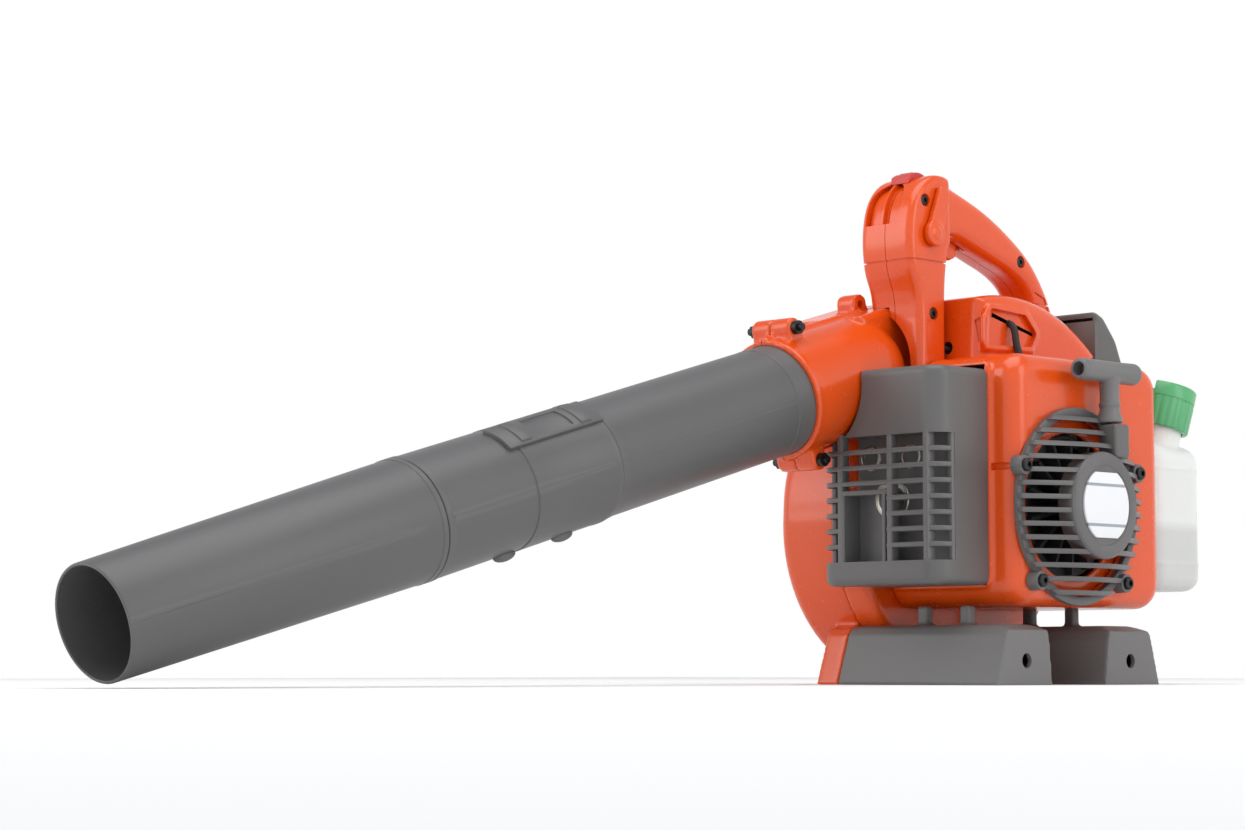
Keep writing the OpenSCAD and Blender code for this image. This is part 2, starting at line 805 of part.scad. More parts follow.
// Moves every point of a closed outline inwards by d
function inset(points, d) = [for (i = [0:len(points) - 1])
    let (last = len(points), a = points[(i + last - 1) % last], b = points[i],
        c = points[(i + 1) % last], m = unit(outward(a, b) + outward(b, c)))
    b - m * d / max(0.5, m * outward(a, b))];

module handle_profile(d) {
    polygon(inset(concat(smooth(handle_out, 3), smooth(handle_in, 3)), d));
}

// Column, grip bar and rear post, cut where they stand on the volute and the dome
module handle_body(d) {
    open = d > 0 ? 1 : 0;
    along_x(-49 + d, -17 - d) handle_profile(d);
    along_x(-56 + d, -10 - d) intersection() {
        handle_profile(d);
        translate([-100, 200 - open]) square([63 - d, 170]);
    }
}

module handle_half(side) {
    difference() {
        intersection() {
            handle_body(0);
            translate([side > 0 ? handle_x : handle_x - 60, -120, 200]) cube([60, 240, 200]);
        }
        handle_body(wall);
        along_x(volute_x0, volute_x1) volute_profile(0);
        along_x(volute_x1, dome_x1) dome_profile(0);
        duct(clamp_r, 0);
        translate([-38.5, trigger_yz[0] - 20, 293]) cube([11, 32, 26]);
        translate([-42, -66, 341]) cube([18, 22, 24]);
        translate([-14, -50, 232]) rotate([-90, 0, 0]) cylinder(r = 4.5, h = 14);
        translate([-20, -60, 309]) disc_x(-5, 15, 3.3);
        for (s = handle_screw_heads) translate([0, s[1], s[2]]) {
            disc_x(s[0] - 2, s[0] + 1, 4.2);
            disc_x(s[0] - 20, s[0], 2.1);
        }
    }
}

module handle_left() {
    color(ORANGE) handle_half(1);
}

module handle_right() {
    color(ORANGE) {
        handle_half(-1);
        translate([0, trigger_yz[0], trigger_yz[1]]) disc_x(-47, -38.6, 4);
    }
}

module trigger() {
    color(ORANGE) translate([-37, 0, 0]) difference() {
        translate([0, trigger_yz[0], trigger_yz[1]]) union() {
            disc_x(0, 8, 6);
            along_x(0, 8) polygon(concat([[6, 0], [5, -24]], arc([0, -27], 5, 0, -90, 4),
                arc([-8, -28], 4, -90, -180, 4), [[-12, -12], [-6, 0]]));
        }
        translate([0, trigger_yz[0], trigger_yz[1]]) disc_x(-1, 9, 2.06);
    }
}

module trigger_pin() {
    color(STEEL) translate([0, trigger_yz[0], trigger_yz[1]]) disc_x(-38.6, -20, 2);
}

lever_yz = [-60, 309];
module throttle_lock_lever() {
    color(ORANGE) translate([0, lever_yz[0], lever_yz[1]]) {
        disc_x(-9.5, -4.5, 9);
        disc_x(-13, -9, 2.9);
        along_x(-9.5, -5) polygon([[-6, 5], [6, 34], [14, 32], [15, 25], [6, -5]]);
    }
}

module stop_switch() {
    color("red") along_x(-41.4, -24.6) polygon(concat([[-65.4, 346], [-65.4, 351]],
        arc([-55, 338], 16.4, 128, 52, 8), [[-44.6, 351], [-44.6, 346]]));
}

module throttle_cable() {
    color("black") cord([[-33, -42, 322], [-33, -52, 318], [-32, -60, 300], [-31, -61, 280],
        [-31, -60, 262], [-28, -57, 248], [-20, -53, 238], [-14, -49, 233.5],
        [-14, -40, 231.5], [-15, -20, 230],
        [-16, 10, 228], [-13, 40, 220], [-10, 54, 206], [-10, 56, 190]], 1.6, 3);
}

// ---------- intake ----------
carb_z = 165;
carb = [-17, 43, 150];
carb_end = [19, 77, 182];

module carburettor() {
    color("lightgray") difference() {
        union() {
            round_box(carb, carb_end, 3);
            translate([-10, 56, 181]) cylinder(r = 3.5, h = 9);
            translate([6, 60, 144]) cylinder(r = 9, h = 7);
        }
        translate([cyl_x, 90, carb_z]) rotate([90, 0, 0]) cylinder(r = 7, h = 60);
    }
}

module throttle_arm() {
    color(STEEL) translate([0, 64, 172]) difference() {
        union() {
            disc_x(-21, -17.4, 4.5);
            along_x(-21, -19) polygon([[-3, 0], [-6, 16], [-1, 18], [3, 0]]);
        }
    }
}

module intake_insulator() {
    color("black") difference() {
        round_box([-15, 26, 152], [19, 43, 178], 3);
        translate([cyl_x, 60, carb_z]) rotate([90, 0, 0]) cylinder(r = 7, h = 50);
    }
}

base_y0 = 95;
primer_xz = [-24, 137.5];
base_y1 = 99;

module filter_base() {
    color(DARK) difference() {
        union() {
            translate([0, base_y0, 0]) rotate([-90, 0, 0]) mirror([0, 1, 0]) linear_extrude(base_y1 - base_y0)
                translate([-36, 115]) square([50, 145]);
            translate([cyl_x, base_y0 + 1, carb_z]) rotate([90, 0, 0]) cylinder(r = 11, h = base_y0 + 1 - 77);
        }
        translate([cyl_x, 120, carb_z]) rotate([90, 0, 0]) cylinder(r = 7, h = 60);
        translate([0, 90, 0]) cube([60, 20, 148]);
        translate([primer_xz[0], 90, primer_xz[1]]) rotate([-90, 0, 0]) cylinder(r = 9, h = 20);
    }
}

module filter_foam() {
    color("black") round_box([-30, base_y1, 186], [6, base_y1 + 18, 246], 6);
}

cover_out = [[base_y1 + 0.3, 176], [base_y1 + 0.3, 268], [110, 264], [125, 248], [137, 222],
    [146, 196], [146, 182], [138, 176]];

module filter_cover() {
    color(DARK) difference() {
        along_x(-36, 12) polygon(cover_out);
        along_x(-33, 9) polygon([[base_y1 - 1, 179], [base_y1 - 1, 264], [108, 261], [122, 246],
            [134, 221], [143, 195], [143, 183], [137, 179]]);
    }
}

module primer_bulb() {
    color("white") translate([primer_xz[0], base_y1 + 3.5, primer_xz[1]]) rotate([-90, 0, 0]) {
        intersection() {
            sphere(r = 8.5);
            translate([-10, -10, 0]) cube([20, 20, 20]);
        }
        translate([0, 0, -7]) cylinder(r = 8.5, h = 7);
    }
}

choke_at = [-24, base_y1 + 0.5, 164.5];
module choke_lever() {
    color("steelblue") translate(choke_at) rotate([-90, 0, 0]) {
        cylinder(r = 6, h = 4);
        translate([-2.5, 0, 0]) cube([5, 11, 4]);
        translate([0, 11, 0]) cylinder(r = 3.5, h = 9);
    }
}

// ---------- fuel ----------
tank_from = [0, 101, 66];
tank_to = [58, 166, 170];

module neck_axis(t = 0) {
    translate(cap_at) rotate([-cap_lean, cap_lean / 2, 0]) translate([0, 0, t]) children();
}

module fuel_tank() {
    color("white") difference() {
        union() {
            round_box(tank_from, tank_to, 16);
            neck_axis(-20) cylinder(r = 17, h = 30);
        }
        round_box(tank_from + [2.2, 2.2, 2.2], tank_to - [2.2, 2.2, 2.2], 13.8);
        neck_axis(-22) cylinder(r = 14.5, h = 40);
    }
}

module cap_liner() {
    color("black") neck_axis(10.3) {
        cylinder(r = 17, h = 1.6);
        translate([0, 0, -8]) cylinder(r = 13.8, h = 9);
    }
}

module fuel_cap() {
    color("seagreen") neck_axis(-4) {
        difference() {
            cylinder(r = 22, h = 23);
            translate([0, 0, -1]) cylinder(r = 18, h = 17.2);
        }
        difference() {
            translate([0, 0, 22]) cylinder(r = 22, h = 10);
            translate([0, 0, 21]) cylinder(r = 19, h = 12);
            translate([-5, -30, 21]) cube([10, 60, 12]);
        }
        translate([-19.5, -2.5, 22]) cube([39, 5, 9]);
    }
}

module fuel_line() {
    color("black") cord([[10, 68, 143.9], [10, 68.6, 140], [11, 74, 136], [13, 82, 134], [18, 90, 135],
        [20, 95.5, 136], [20, 100.9, 136]], 2.5, 4);
}

// ---------- feet ----------
foot_front = [[-104, 0], [-92, 34], [-88, 38.5], [-82, foot_h], [-54, foot_h], [-49, 37],
    [-47, 30], [-44, 0]];
foot_rear = [[15, 0], [19, 30], [21, 37], [26, foot_h], [58, foot_h], [64, 38.5], [68, 34], [78, 0]];

module foot_shell(front, x0, x1) {
    outline = front ? foot_front : foot_rear;
    difference() {
        along_x(x0, x1) polygon(outline);
        along_x(x0 - 1, x1 + 1) translate([0, -0.1])
            polygon([for (p = inset(outline, 3)) [p[0], p[1] < 6 ? 0 : p[1]]]);
    }
}

module foot(front) {
    mid_y = front ? -72 : 44;
    x0 = front ? seam_x : volute_x1;
    color(DARK) difference() {
        union() {
            foot_shell(front, x0, 77);
            along_x(73.5, 77) polygon(front ? foot_front : foot_rear);
            for (x = [-12, 24]) translate([x, mid_y - 4, foot_h - 1]) cube([8, 8, shroud_z0 - foot_h + 1]);
            translate([x0, front ? -103.5 : 65.5, 0]) cube([77 - x0, 12, 3]);
        }
        translate([0, mid_y, 16]) disc_x(60, 90, 5);
        along_x(seam_x - 1, volute_x1) volute_profile(-0.2);
        translate([0, 0, foot_h + 8]) rotate([0, 18, 0]) translate([40, -200, 0]) cube([80, 400, 40]);
    }
}

module front_foot() {
    foot(true);
}

module rear_foot() {
    foot(false);
}

// ---------- every node ----------
// The origin is under the middle of the machine's box, on the ground
x_middle = (volute_x0 - grille_deep + starter_face + badge_t) / 2;
y_middle = (rim[1] - mouth_t * cos(tube_tilt) - mouth_r * sin(tube_tilt) + tank_to[1]) / 2;

module placed() {
    translate([-x_middle, -y_middle, 0]) children();
}
placed() {
    upper_tube();
    lower_tube();
    nozzle();
    volute_inner();
    volute_outer();
    inlet_grille();
    outlet_clamp_screw();
    impeller();
    impeller_nut();
    crankcase_right();
    crankcase_left();
    crankshaft();
    main_bearings();
    shaft_seals();
    crank_pin();
    con_rod();
    piston();
    piston_ring();
    wrist_pin();
    engine_cylinder();
    spark_plug();
    plug_boot();
    ignition_coil();
    ignition_lead();
    flywheel();
    flywheel_nut();
    starter_housing();
    starter_pulley();
    recoil_spring();
    rope_winding();
    starter_rope();
    starter_grip();
    housing_screws();
    starter_badge();
    engine_shroud();
    muffler_shell();
    muffler_cover();
    muffler_bolts();
    muffler_guard();
    handle_left();
    handle_right();
    trigger();
    trigger_pin();
    throttle_lock_lever();
    stop_switch();
    throttle_cable();
    carburettor();
    throttle_arm();
    intake_insulator();
    choke_lever();
    primer_bulb();
    filter_base();
    filter_foam();
    filter_cover();
    fuel_tank();
    cap_liner();
    fuel_cap();
    fuel_line();
    front_foot();
    rear_foot();
}
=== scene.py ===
"""A handheld petrol leaf blower, built as shells, bars and turned parts around its mechanical frame.

Lengths inside this file are in millimetres, in the machine's own axes: the tube points to -Y, the
starter is on the +X side and Z is up. at() turns them into the scene's metres.
"""

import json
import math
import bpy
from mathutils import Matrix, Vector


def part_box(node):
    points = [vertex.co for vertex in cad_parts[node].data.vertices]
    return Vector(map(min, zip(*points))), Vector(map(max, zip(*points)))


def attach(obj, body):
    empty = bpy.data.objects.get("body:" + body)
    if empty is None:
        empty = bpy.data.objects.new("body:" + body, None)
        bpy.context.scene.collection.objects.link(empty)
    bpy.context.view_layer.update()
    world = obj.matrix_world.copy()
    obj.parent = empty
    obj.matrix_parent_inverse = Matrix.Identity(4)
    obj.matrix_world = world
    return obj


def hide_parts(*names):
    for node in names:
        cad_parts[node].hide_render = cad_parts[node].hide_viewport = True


bl_info = {
    "name": "Petrol leaf blower",
    "version": (1, 0, 0),
    "blender": (4, 5, 0),
    "location": "3D View > Sidebar > Leaf blower",
    "description": "Builds a handheld petrol leaf blower piece by piece",
    "category": "Object",
}

import bmesh
import bpy
from mathutils import Matrix, Vector

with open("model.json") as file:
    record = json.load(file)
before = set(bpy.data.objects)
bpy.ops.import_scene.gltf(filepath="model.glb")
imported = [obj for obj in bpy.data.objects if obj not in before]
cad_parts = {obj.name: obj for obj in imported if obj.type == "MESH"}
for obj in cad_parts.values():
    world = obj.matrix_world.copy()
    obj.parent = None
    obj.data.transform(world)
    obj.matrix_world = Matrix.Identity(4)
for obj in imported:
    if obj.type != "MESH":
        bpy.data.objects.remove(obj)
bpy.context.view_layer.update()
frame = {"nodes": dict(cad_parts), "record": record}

MM = 0.001
TAU = 2 * math.pi

# Edges sharper than these angles, in degrees, stay crisp: on fine parts, and on shells and frames
FINE_EDGE = 32
SHELL_EDGE = 40

# The share of a moulded skin's faces that is kept
SKIN_KEPT = 0.5


def box_middle(node):
    """The middle of a node's box, in metres."""
    low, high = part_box(node)
    return (Vector(low) + Vector(high)) / 2


# The crankshaft is the machine's reference: its own axes have it at Y = -8, Z = 120
CRANK = Vector((0, -8, 120))
BADGE_X = 96.4
SHIFT = box_middle("starter_badge") - Vector((BADGE_X, CRANK.y, CRANK.z)) * MM

# The tube's rim, where it leaves the volute, and the way it points
RIM = Vector((-60, -168, 190))
TILT = math.radians(15.9)
ALONG = Vector((0, -math.cos(TILT), -math.sin(TILT)))
ABOVE = Vector((0, -math.sin(TILT), math.cos(TILT)))


def at(p):
    """A point of the machine, in millimetres, as a point of the scene in metres."""
    return Vector(p) * MM + SHIFT


def machine_box(node):
    """The corners of a node's box in the machine's own millimetres."""
    return [[(c - s) / MM for c, s in zip(corner, SHIFT)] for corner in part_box(node)]


def on_crank(x, y, z):
    """A point given from the crankshaft's axis."""
    return Vector((x, CRANK.y + y, CRANK.z + z))


def tube_at(t, side, up):
    """A point given by its distance along the tube from the rim, and its offsets from the tube's axis."""
    return RIM + ALONG * t + Vector((side, 0, 0)) + ABOVE * up


# ---------- solids in plain points and faces ----------

class Solid:
    """A closed skin of points in millimetres, or several, which may run into each other."""

    def __init__(self, points=(), faces=(), parts=None):
        self.points = [Vector(p) for p in points]
        self.faces = [tuple(f) for f in faces]
        self.parts = parts or ([self] if self.points else [])

    def __add__(self, other):
        shift = len(self.points)
        faces = self.faces + [tuple(i + shift for i in f) for f in other.faces]
        return Solid(self.points + other.points, faces, self.parts + other.parts)

    def moved(self, change):
        """The same solid with every point passed through a function."""
        return Solid([change(p) for p in self.points], self.faces)


def joined(solids):
    """Several solids as one."""
    total = Solid()
    for s in solids:
        total = total + s
    return total


def lofted(rings, closed=False):
    """A skin over rings of equally many points, with flat ends unless it closes on itself."""
    n = len(rings[0])
    points = [p for ring in rings for p in ring]
    faces = []
    for i in range(len(rings) if closed else len(rings) - 1):
        a, b = i * n, (i + 1) % len(rings) * n
        faces += [(a + k, a + (k + 1) % n, b + (k + 1) % n, b + k) for k in range(n)]
    if not closed:
        faces.append(tuple(range(n - 1, -1, -1)))
        faces.append(tuple(range((len(rings) - 1) * n, len(rings) * n)))
    return Solid(points, faces)


def frame_of(direction):
    """Two unit vectors square to a direction and to each other."""
    d = Vector(direction).normalized()
    side = d.cross(Vector((0, 0, 1)) if abs(d.z) < 0.9 else Vector((0, 1, 0))).normalized()
    return side, d.cross(side)


def circle_at(middle, direction, r, n=48):
    """Points round a circle."""
    side, up = frame_of(direction)
    return [Vector(middle) + side * (r * math.cos(TAU * k / n)) + up * (r * math.sin(TAU * k / n))
            for k in range(n)]


def turned(start, direction, profile, n=64):
    """A closed profile of (distance, radius) turned about an axis."""
    d = Vector(direction).normalized()
    rings = [circle_at(Vector(start) + d * t, d, max(r, 0.01), n) for t, r in profile]
    return lofted(rings, closed=True)


def bead_profile(half, r, steps=12):
    """An oval bead's (distance, radius) along its length."""
    angles = [math.pi * k / steps for k in range(steps + 1)]
    return [(-half * math.cos(a), max(0.05, r * math.sin(a))) for a in angles]


def spun(start, direction, profile, n=32):
    """A solid turned about an axis from (distance, radius) stations, with flat ends."""
    d = Vector(direction).normalized()
    return lofted([circle_at(Vector(start) + d * t, d, max(r, 0.01), n) for t, r in profile])


def drum(start, end, r0, r1=None, n=48):
    """A cylinder or cone between two points."""
    d = Vector(end) - Vector(start)
    return lofted([circle_at(start, d, r0, n), circle_at(end, d, r1 or r0, n)])


def ball(middle, radii, n=24):
    """An ellipsoid along the machine's axes."""
    rx, ry, rz = radii if hasattr(radii, "__len__") else (radii,) * 3
    rings = []
    for i in range(1, n // 2):
        a = TAU / 2 * i / (n // 2)
        rings.append([Vector(middle) + Vector((rx * math.sin(a) * math.cos(TAU * k / n),
                                               ry * math.sin(a) * math.sin(TAU * k / n),
                                               rz * math.cos(a))) for k in range(n)])
    return lofted(rings)


def place(axis, u, v, w):
    """A point from its height w on an axis and its place (u, v) on the plane square to it."""
    return {"x": Vector((w, u, v)), "y": Vector((u, w, v)), "z": Vector((u, v, w))}[axis]


def prism(axis, outline, low, high):
    """An outline drawn square to an axis and drawn out along it."""
    return lofted([[place(axis, u, v, w) for u, v in outline] for w in (low, high)])


def rect(low, high):
    """The corners of a rectangle, anticlockwise."""
    return [(low[0], low[1]), (high[0], low[1]), (high[0], high[1]), (low[0], high[1])]


def block(low, high):
    """A plain box, used for cutting."""
    return prism("z", rect(low, high), low[2], high[2])


def rounded(points, radius, steps=6):
    """A closed outline with its corners rounded; radius is one number or one for each corner."""
    out = []
    n = len(points)
    for i, p in enumerate(points):
        here = Vector(p)
        before, after = Vector(points[i - 1]), Vector(points[(i + 1) % n])
        r = radius[i] if hasattr(radius, "__len__") else radius
        a, b = (before - here).normalized(), (after - here).normalized()
        half = a.angle(b) / 2
        reach = min(r / math.tan(half), (before - here).length * 0.49, (after - here).length * 0.49)
        r = reach * math.tan(half)
        middle = here + (a + b).normalized() * (r / math.sin(half))
        start, end = here + a * reach - middle, here + b * reach - middle
        sweep = start.angle_signed(end)
        for k in range(steps + 1):
            turn = Matrix.Rotation(-sweep * k / steps, 2)
            out.append(tuple(middle + turn @ start))
    return out


def shrunk(outline, d):
    """A closed outline moved inwards by d."""
    n = len(outline)
    area = sum(outline[i][0] * outline[(i + 1) % n][1] - outline[(i + 1) % n][0] * outline[i][1]
               for i in range(n))
    sign = 1 if area > 0 else -1
    out = []
    for i in range(n):
        p = Vector(outline[i])
        a = p - Vector(outline[i - 1])
        b = Vector(outline[(i + 1) % n]) - p
        m = (a.normalized() + b.normalized()).normalized()
        out.append((p.x - m.y * d * sign, p.y + m.x * d * sign))
    return out


def pillow(axis, outline, low, high, r_low, r_high=None, steps=6):
    """A prism whose two ends are rounded over with their own radii."""
    r_high = r_low if r_high is None else r_high

    def shoulder(end, r, sign):
        quarter = [TAU / 4 * k / steps for k in range(steps + 1 if r else 1)]
        return [(end - sign * (r * (1 - math.sin(a))), r * (1 - math.cos(a))) for a in quarter]

    rings = []
    for w, d in shoulder(low, r_low, -1)[::-1] + shoulder(high, r_high, 1):
        ring = shrunk(outline, d) if d > 0.01 else outline
        rings.append([place(axis, u, v, w) for u, v in ring])
    return lofted(rings)


def soft_box(low, high, r, axis="z"):
    """A box with rounded edges."""
    u, v, w = {"x": (1, 2, 0), "y": (0, 2, 1), "z": (0, 1, 2)}[axis]
    outline = rounded(rect((low[u], low[v]), (high[u], high[v])), r)
    return pillow(axis, outline, low[w], high[w], r)


def smooth_path(points, steps=6):
    """A curve through points, as more points."""
    out = []
    last = len(points) - 1
    for i in range(last):
        p = [Vector(points[max(0, min(last, i + k))]) for k in (-1, 0, 1, 2)]
        for k in range(steps):
            f = k / steps
            out.append(0.5 * (2 * p[1] + (p[2] - p[0]) * f + (2 * p[0] - 5 * p[1] + 4 * p[2] - p[3]) * f * f
                              + (3 * p[1] - p[0] - 3 * p[2] + p[3]) * f ** 3))
    out.append(Vector(points[last]))
    return out


def swept(path, section):
    """A section of (side, up) points carried along a path."""
    rings = []
    last = len(path) - 1
    for i, p in enumerate(path):
        d = (path[min(i + 1, last)] - path[max(i - 1, 0)]).normalized()
        side, up = frame_of(d)
        rings.append([p + side * u + up * v for u, v in section])
    return lofted(rings)


# ---------- from solids to pieces ----------

def raw_object(name, solid):
    """An object in the scene, in metres, from a solid."""
    mesh = bpy.data.meshes.new(name)
    mesh.from_pydata([at(p) for p in solid.points], [], solid.faces)
    mesh.validate()
    bm = bmesh.new()
    bm.from_mesh(mesh)
    bmesh.ops.remove_doubles(bm, verts=bm.verts, dist=1e-6)
    bmesh.ops.recalc_face_normals(bm, faces=bm.faces)
    bm.to_mesh(mesh)
    bm.free()
    obj = bpy.data.objects.new(name, mesh)
    bpy.context.scene.collection.objects.link(obj)
    return obj


def applied(obj):
    """Applies an object's modifiers to its mesh."""
    depsgraph = bpy.context.evaluated_depsgraph_get()
    mesh = bpy.data.meshes.new_from_object(obj.evaluated_get(depsgraph))
    obj.modifiers.clear()
    old = obj.data
    obj.data = mesh
    bpy.data.meshes.remove(old)
    return obj


def dropped(obj):
    """Removes a helper object and its mesh."""
    mesh = obj.data
    bpy.data.objects.remove(obj)
    bpy.data.meshes.remove(mesh)


def combined(obj, tool, operation):
    """A boolean of an object with a solid or with another object, which it uses up."""
    if isinstance(tool, Solid):
        if operation != "INTERSECT" and len(tool.parts) > 1:
            for part in tool.parts:
                combined(obj, part, operation)
            return obj
        tool = raw_object("tool", tool)
    change = obj.modifiers.new("boolean", "BOOLEAN")
    change.operation = operation
    change.solver = "EXACT"
    change.object = tool
    applied(obj)
    dropped(tool)
    return obj


def united(name, solid):
    """One object from solids that run into each other."""
    obj = raw_object(name, solid.parts[0])
    for part in solid.parts[1:]:
        combined(obj, part, "UNION")
    return obj


def shaded(obj, sharp_deg=FINE_EDGE):
    """Smooth shading that stays crisp at edges sharper than an angle."""
    limit = math.radians(sharp_deg)
    bm = bmesh.new()
    bm.from_mesh(obj.data)
    for f in bm.faces:
        f.smooth = True
    for e in bm.edges:
        e.smooth = len(e.link_faces) == 2 and e.calc_face_angle(0) < limit
    bm.to_mesh(obj.data)
    bm.free()
    return obj


def finished(obj, material, body="root", stands_for=()):
    """Gives a piece its finish, the body it rides on and the frame nodes it stands for."""
    obj.data.materials.clear()
    obj.data.materials.append(material)
    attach(obj, body)
    if stands_for:
        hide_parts(*stands_for)
    return obj


def edged(obj, width, sharp_deg=SHELL_EDGE, segments=2):
    """Rounds an object's edges that are sharper than an angle."""
    change = obj.modifiers.new("bevel", "BEVEL")
    change.width = width * MM
    change.segments = segments
    change.limit_method = "ANGLE"
    change.angle_limit = math.radians(sharp_deg)
    return applied(obj)


def bevelled(name, solid, width, cut=None):
    """A piece with its edges rounded by a bevel."""
    obj = united(name, solid)
    if cut:
        combined(obj, cut, "DIFFERENCE")
    return shaded(edged(obj, width, FINE_EDGE))


def skinned(obj, voxel, relax):
    """Gives overlapping solids one even skin with softly rounded edges."""
    skin = obj.modifiers.new("skin", "REMESH")
    skin.mode = "VOXEL"
    skin.voxel_size = voxel * MM
    skin.use_smooth_shade = True
    ease = obj.modifiers.new("ease", "SMOOTH")
    ease.factor = 0.5
    ease.iterations = relax
    return applied(obj)


def moulded(name, add, cut, voxel, relax):
    """A moulded shell: solids merged under one softly rounded skin, then cut crisply."""
    obj = skinned(raw_object(name, add), voxel, relax)
    lighter = obj.modifiers.new("lighter", "DECIMATE")
    lighter.ratio = SKIN_KEPT
    applied(obj)
    if cut:
        combined(obj, cut, "DIFFERENCE")
    return shaded(obj, SHELL_EDGE)


def hex_bolt(seat, out, r, head, shank_r, shank):
    """A hexagon head with a shank behind its seat."""
    d = Vector(out).normalized()
    seat = Vector(seat)
    return drum(seat - d * shank, seat + d * 0.5, shank_r, n=20) + drum(seat, seat + d * head, r, n=6)


def socket_screw(seat, out, r, head, shank):
    """A round head with a star recess, on a shank."""
    d = Vector(out).normalized()
    seat = Vector(seat)
    head_part = raw_object("head", spun(seat, d, [(0, r), (head * 0.65, r), (head * 0.9, r * 0.86),
                                                  (head, r * 0.6)], 32))
    side, up = frame_of(d)
    star = []
    for k in range(24):
        reach = r * (0.5 if k % 4 < 2 else 0.38)
        a = TAU * k / 24
        star.append(side * (reach * math.cos(a)) + up * (reach * math.sin(a)))
    combined(head_part, lofted([[seat + d * w + p for p in star] for w in (head * 0.35, head + 1)]),
             "DIFFERENCE")
    combined(head_part, drum(seat - d * shank, seat + d * 0.2, r * 0.5, n=20), "UNION")
    return head_part


# ---------- finishes ----------

class Signal:
    """A shader socket that Python expressions work on."""

    def __init__(self, finish, socket):
        self.finish = finish
        self.socket = socket

    def maths(self, operation, a, b=0.0):
        """A Math node on two signals or numbers."""
        return self.finish.node("ShaderNodeMath", {"operation": operation}, {0: a, 1: b})

    def __add__(self, other):
        return self.maths("ADD", self, other)

    def __sub__(self, other):
        return self.maths("SUBTRACT", self, other)

    def __mul__(self, other):
        return self.maths("MULTIPLY", self, other)

    def __radd__(self, other):
        return self.maths("ADD", other, self)

    def __rsub__(self, other):
        return self.maths("SUBTRACT", other, self)

    def __rmul__(self, other):
        return self.maths("MULTIPLY", other, self)

    def above(self, other):
        """1 where this signal is above the other."""
        return self.maths("GREATER_THAN", self, other)

    def wave(self):
        """The sine of the signal."""
        return self.maths("SINE", self)

    def magnitude(self):
        """The signal without its sign."""
        return self.maths("ABSOLUTE", self)

    def between(self, low, high):
        """0 below low, 1 above high and a straight line in between."""
        return self.finish.node("ShaderNodeMapRange", {"clamp": True},
                                {"Value": self, "From Min": low, "From Max": high})


class Finish:
    """A procedural material with one shader."""

    def __init__(self, name, roughness, metallic=0.0, coat=0.0, **constants):
        self.material = bpy.data.materials.new(name)
        self.material.use_nodes = True
        self.tree = self.material.node_tree
        self.shader = next(n for n in self.tree.nodes if n.type == "BSDF_PRINCIPLED")
        fixed = {"Roughness": roughness, "Metallic": metallic, "Coat Weight": coat, **constants}
        for socket, value in fixed.items():
            self.shader.inputs[socket].default_value = value

    def node(self, kind, settings=(), sockets=(), out=0):
        """A node with its settings, then the values or links of its sockets."""
        made = self.tree.nodes.new(kind)
        for key, value in dict(settings).items():
            setattr(made, key, value)
        for key, value in dict(sockets).items():
            self.feed(made.inputs[key], value)
        return Signal(self, made.outputs[out])

    def feed(self, socket, value):
        """Links a signal to a socket, or sets its value."""
        if isinstance(value, Signal):
            self.tree.links.new(value.socket, socket)
        else:
            socket.default_value = value

    def places(self):
        """The surface's own points, in metres."""
        return self.node("ShaderNodeTexCoord", out="Object")

    def parts(self):
        """The x, y and z of the surface's own points."""
        split = self.node("ShaderNodeSeparateXYZ", sockets={0: self.places()})
        return [Signal(self, o) for o in split.socket.node.outputs]

    def noise(self, scale, detail=2.0, rough=0.5, vector=None):
        """Cloudy noise from 0 to 1."""
        return self.node("ShaderNodeTexNoise", {}, {"Vector": vector or self.places(), "Scale": scale,
                                                    "Detail": detail, "Roughness": rough})

    def grain(self, size_mm):
        """Small rounded cells, as on a spark-eroded mould."""
        return self.node("ShaderNodeTexVoronoi", {"feature": "F1"},
                         {"Vector": self.places(), "Scale": 1 / (size_mm * MM)})

    def mix(self, factor, a, b):
        """From colour a to colour b."""
        return self.node("ShaderNodeMix", {"data_type": "RGBA"}, {0: factor, 6: a, 7: b}, out=2)

    def worn(self):
        """1 on the outside edges, where handling rubs a surface pale."""
        geometry = self.node("ShaderNodeNewGeometry", out="Pointiness")
        return geometry.between(0.53, 0.6)

    def colour(self, value):
        """Sets the base colour."""
        self.feed(self.shader.inputs["Base Color"], value)

    def roughness(self, value):
        """Sets a roughness that varies."""
        self.feed(self.shader.inputs["Roughness"], value)

    def relief(self, height, depth_mm):
        """Raises the surface by a signal."""
        bump = self.node("ShaderNodeBump", {}, {"Height": height, "Distance": depth_mm * MM,
                                                "Strength": 1.0})
        self.feed(self.shader.inputs["Normal"], bump)


def shade(colour, factor):
    """A colour made lighter or darker."""
    return (*(min(1.0, c * factor) for c in colour[:3]), 1.0)


def plastic(name, colour, roughness, grain_mm=0.0, grain_depth=0.02, coat=0.0, wear=0.25):
    """Moulded plastic: slight cloudiness, mould grain, handling shine and paler worn edges."""
    f = Finish(name, roughness, coat=coat, **{"Coat Roughness": 0.08})
    clouds = f.noise(18.0, 3.0)
    base = f.mix(clouds, shade(colour, 0.95), shade(colour, 1.05))
    dust = f.noise(120.0, 4.0, 0.7).between(0.6, 0.9)
    f.colour(f.mix(f.worn() * wear, base, shade(colour, 1.5)))
    f.roughness(roughness - 0.05 + clouds * 0.1 + dust * 0.12)
    if grain_mm:
        f.relief(f.grain(grain_mm) * 0.7 + f.noise(900.0) * 0.3, grain_depth)
    else:
        f.relief(f.noise(35.0, 2.0), 0.05)
    return f.material


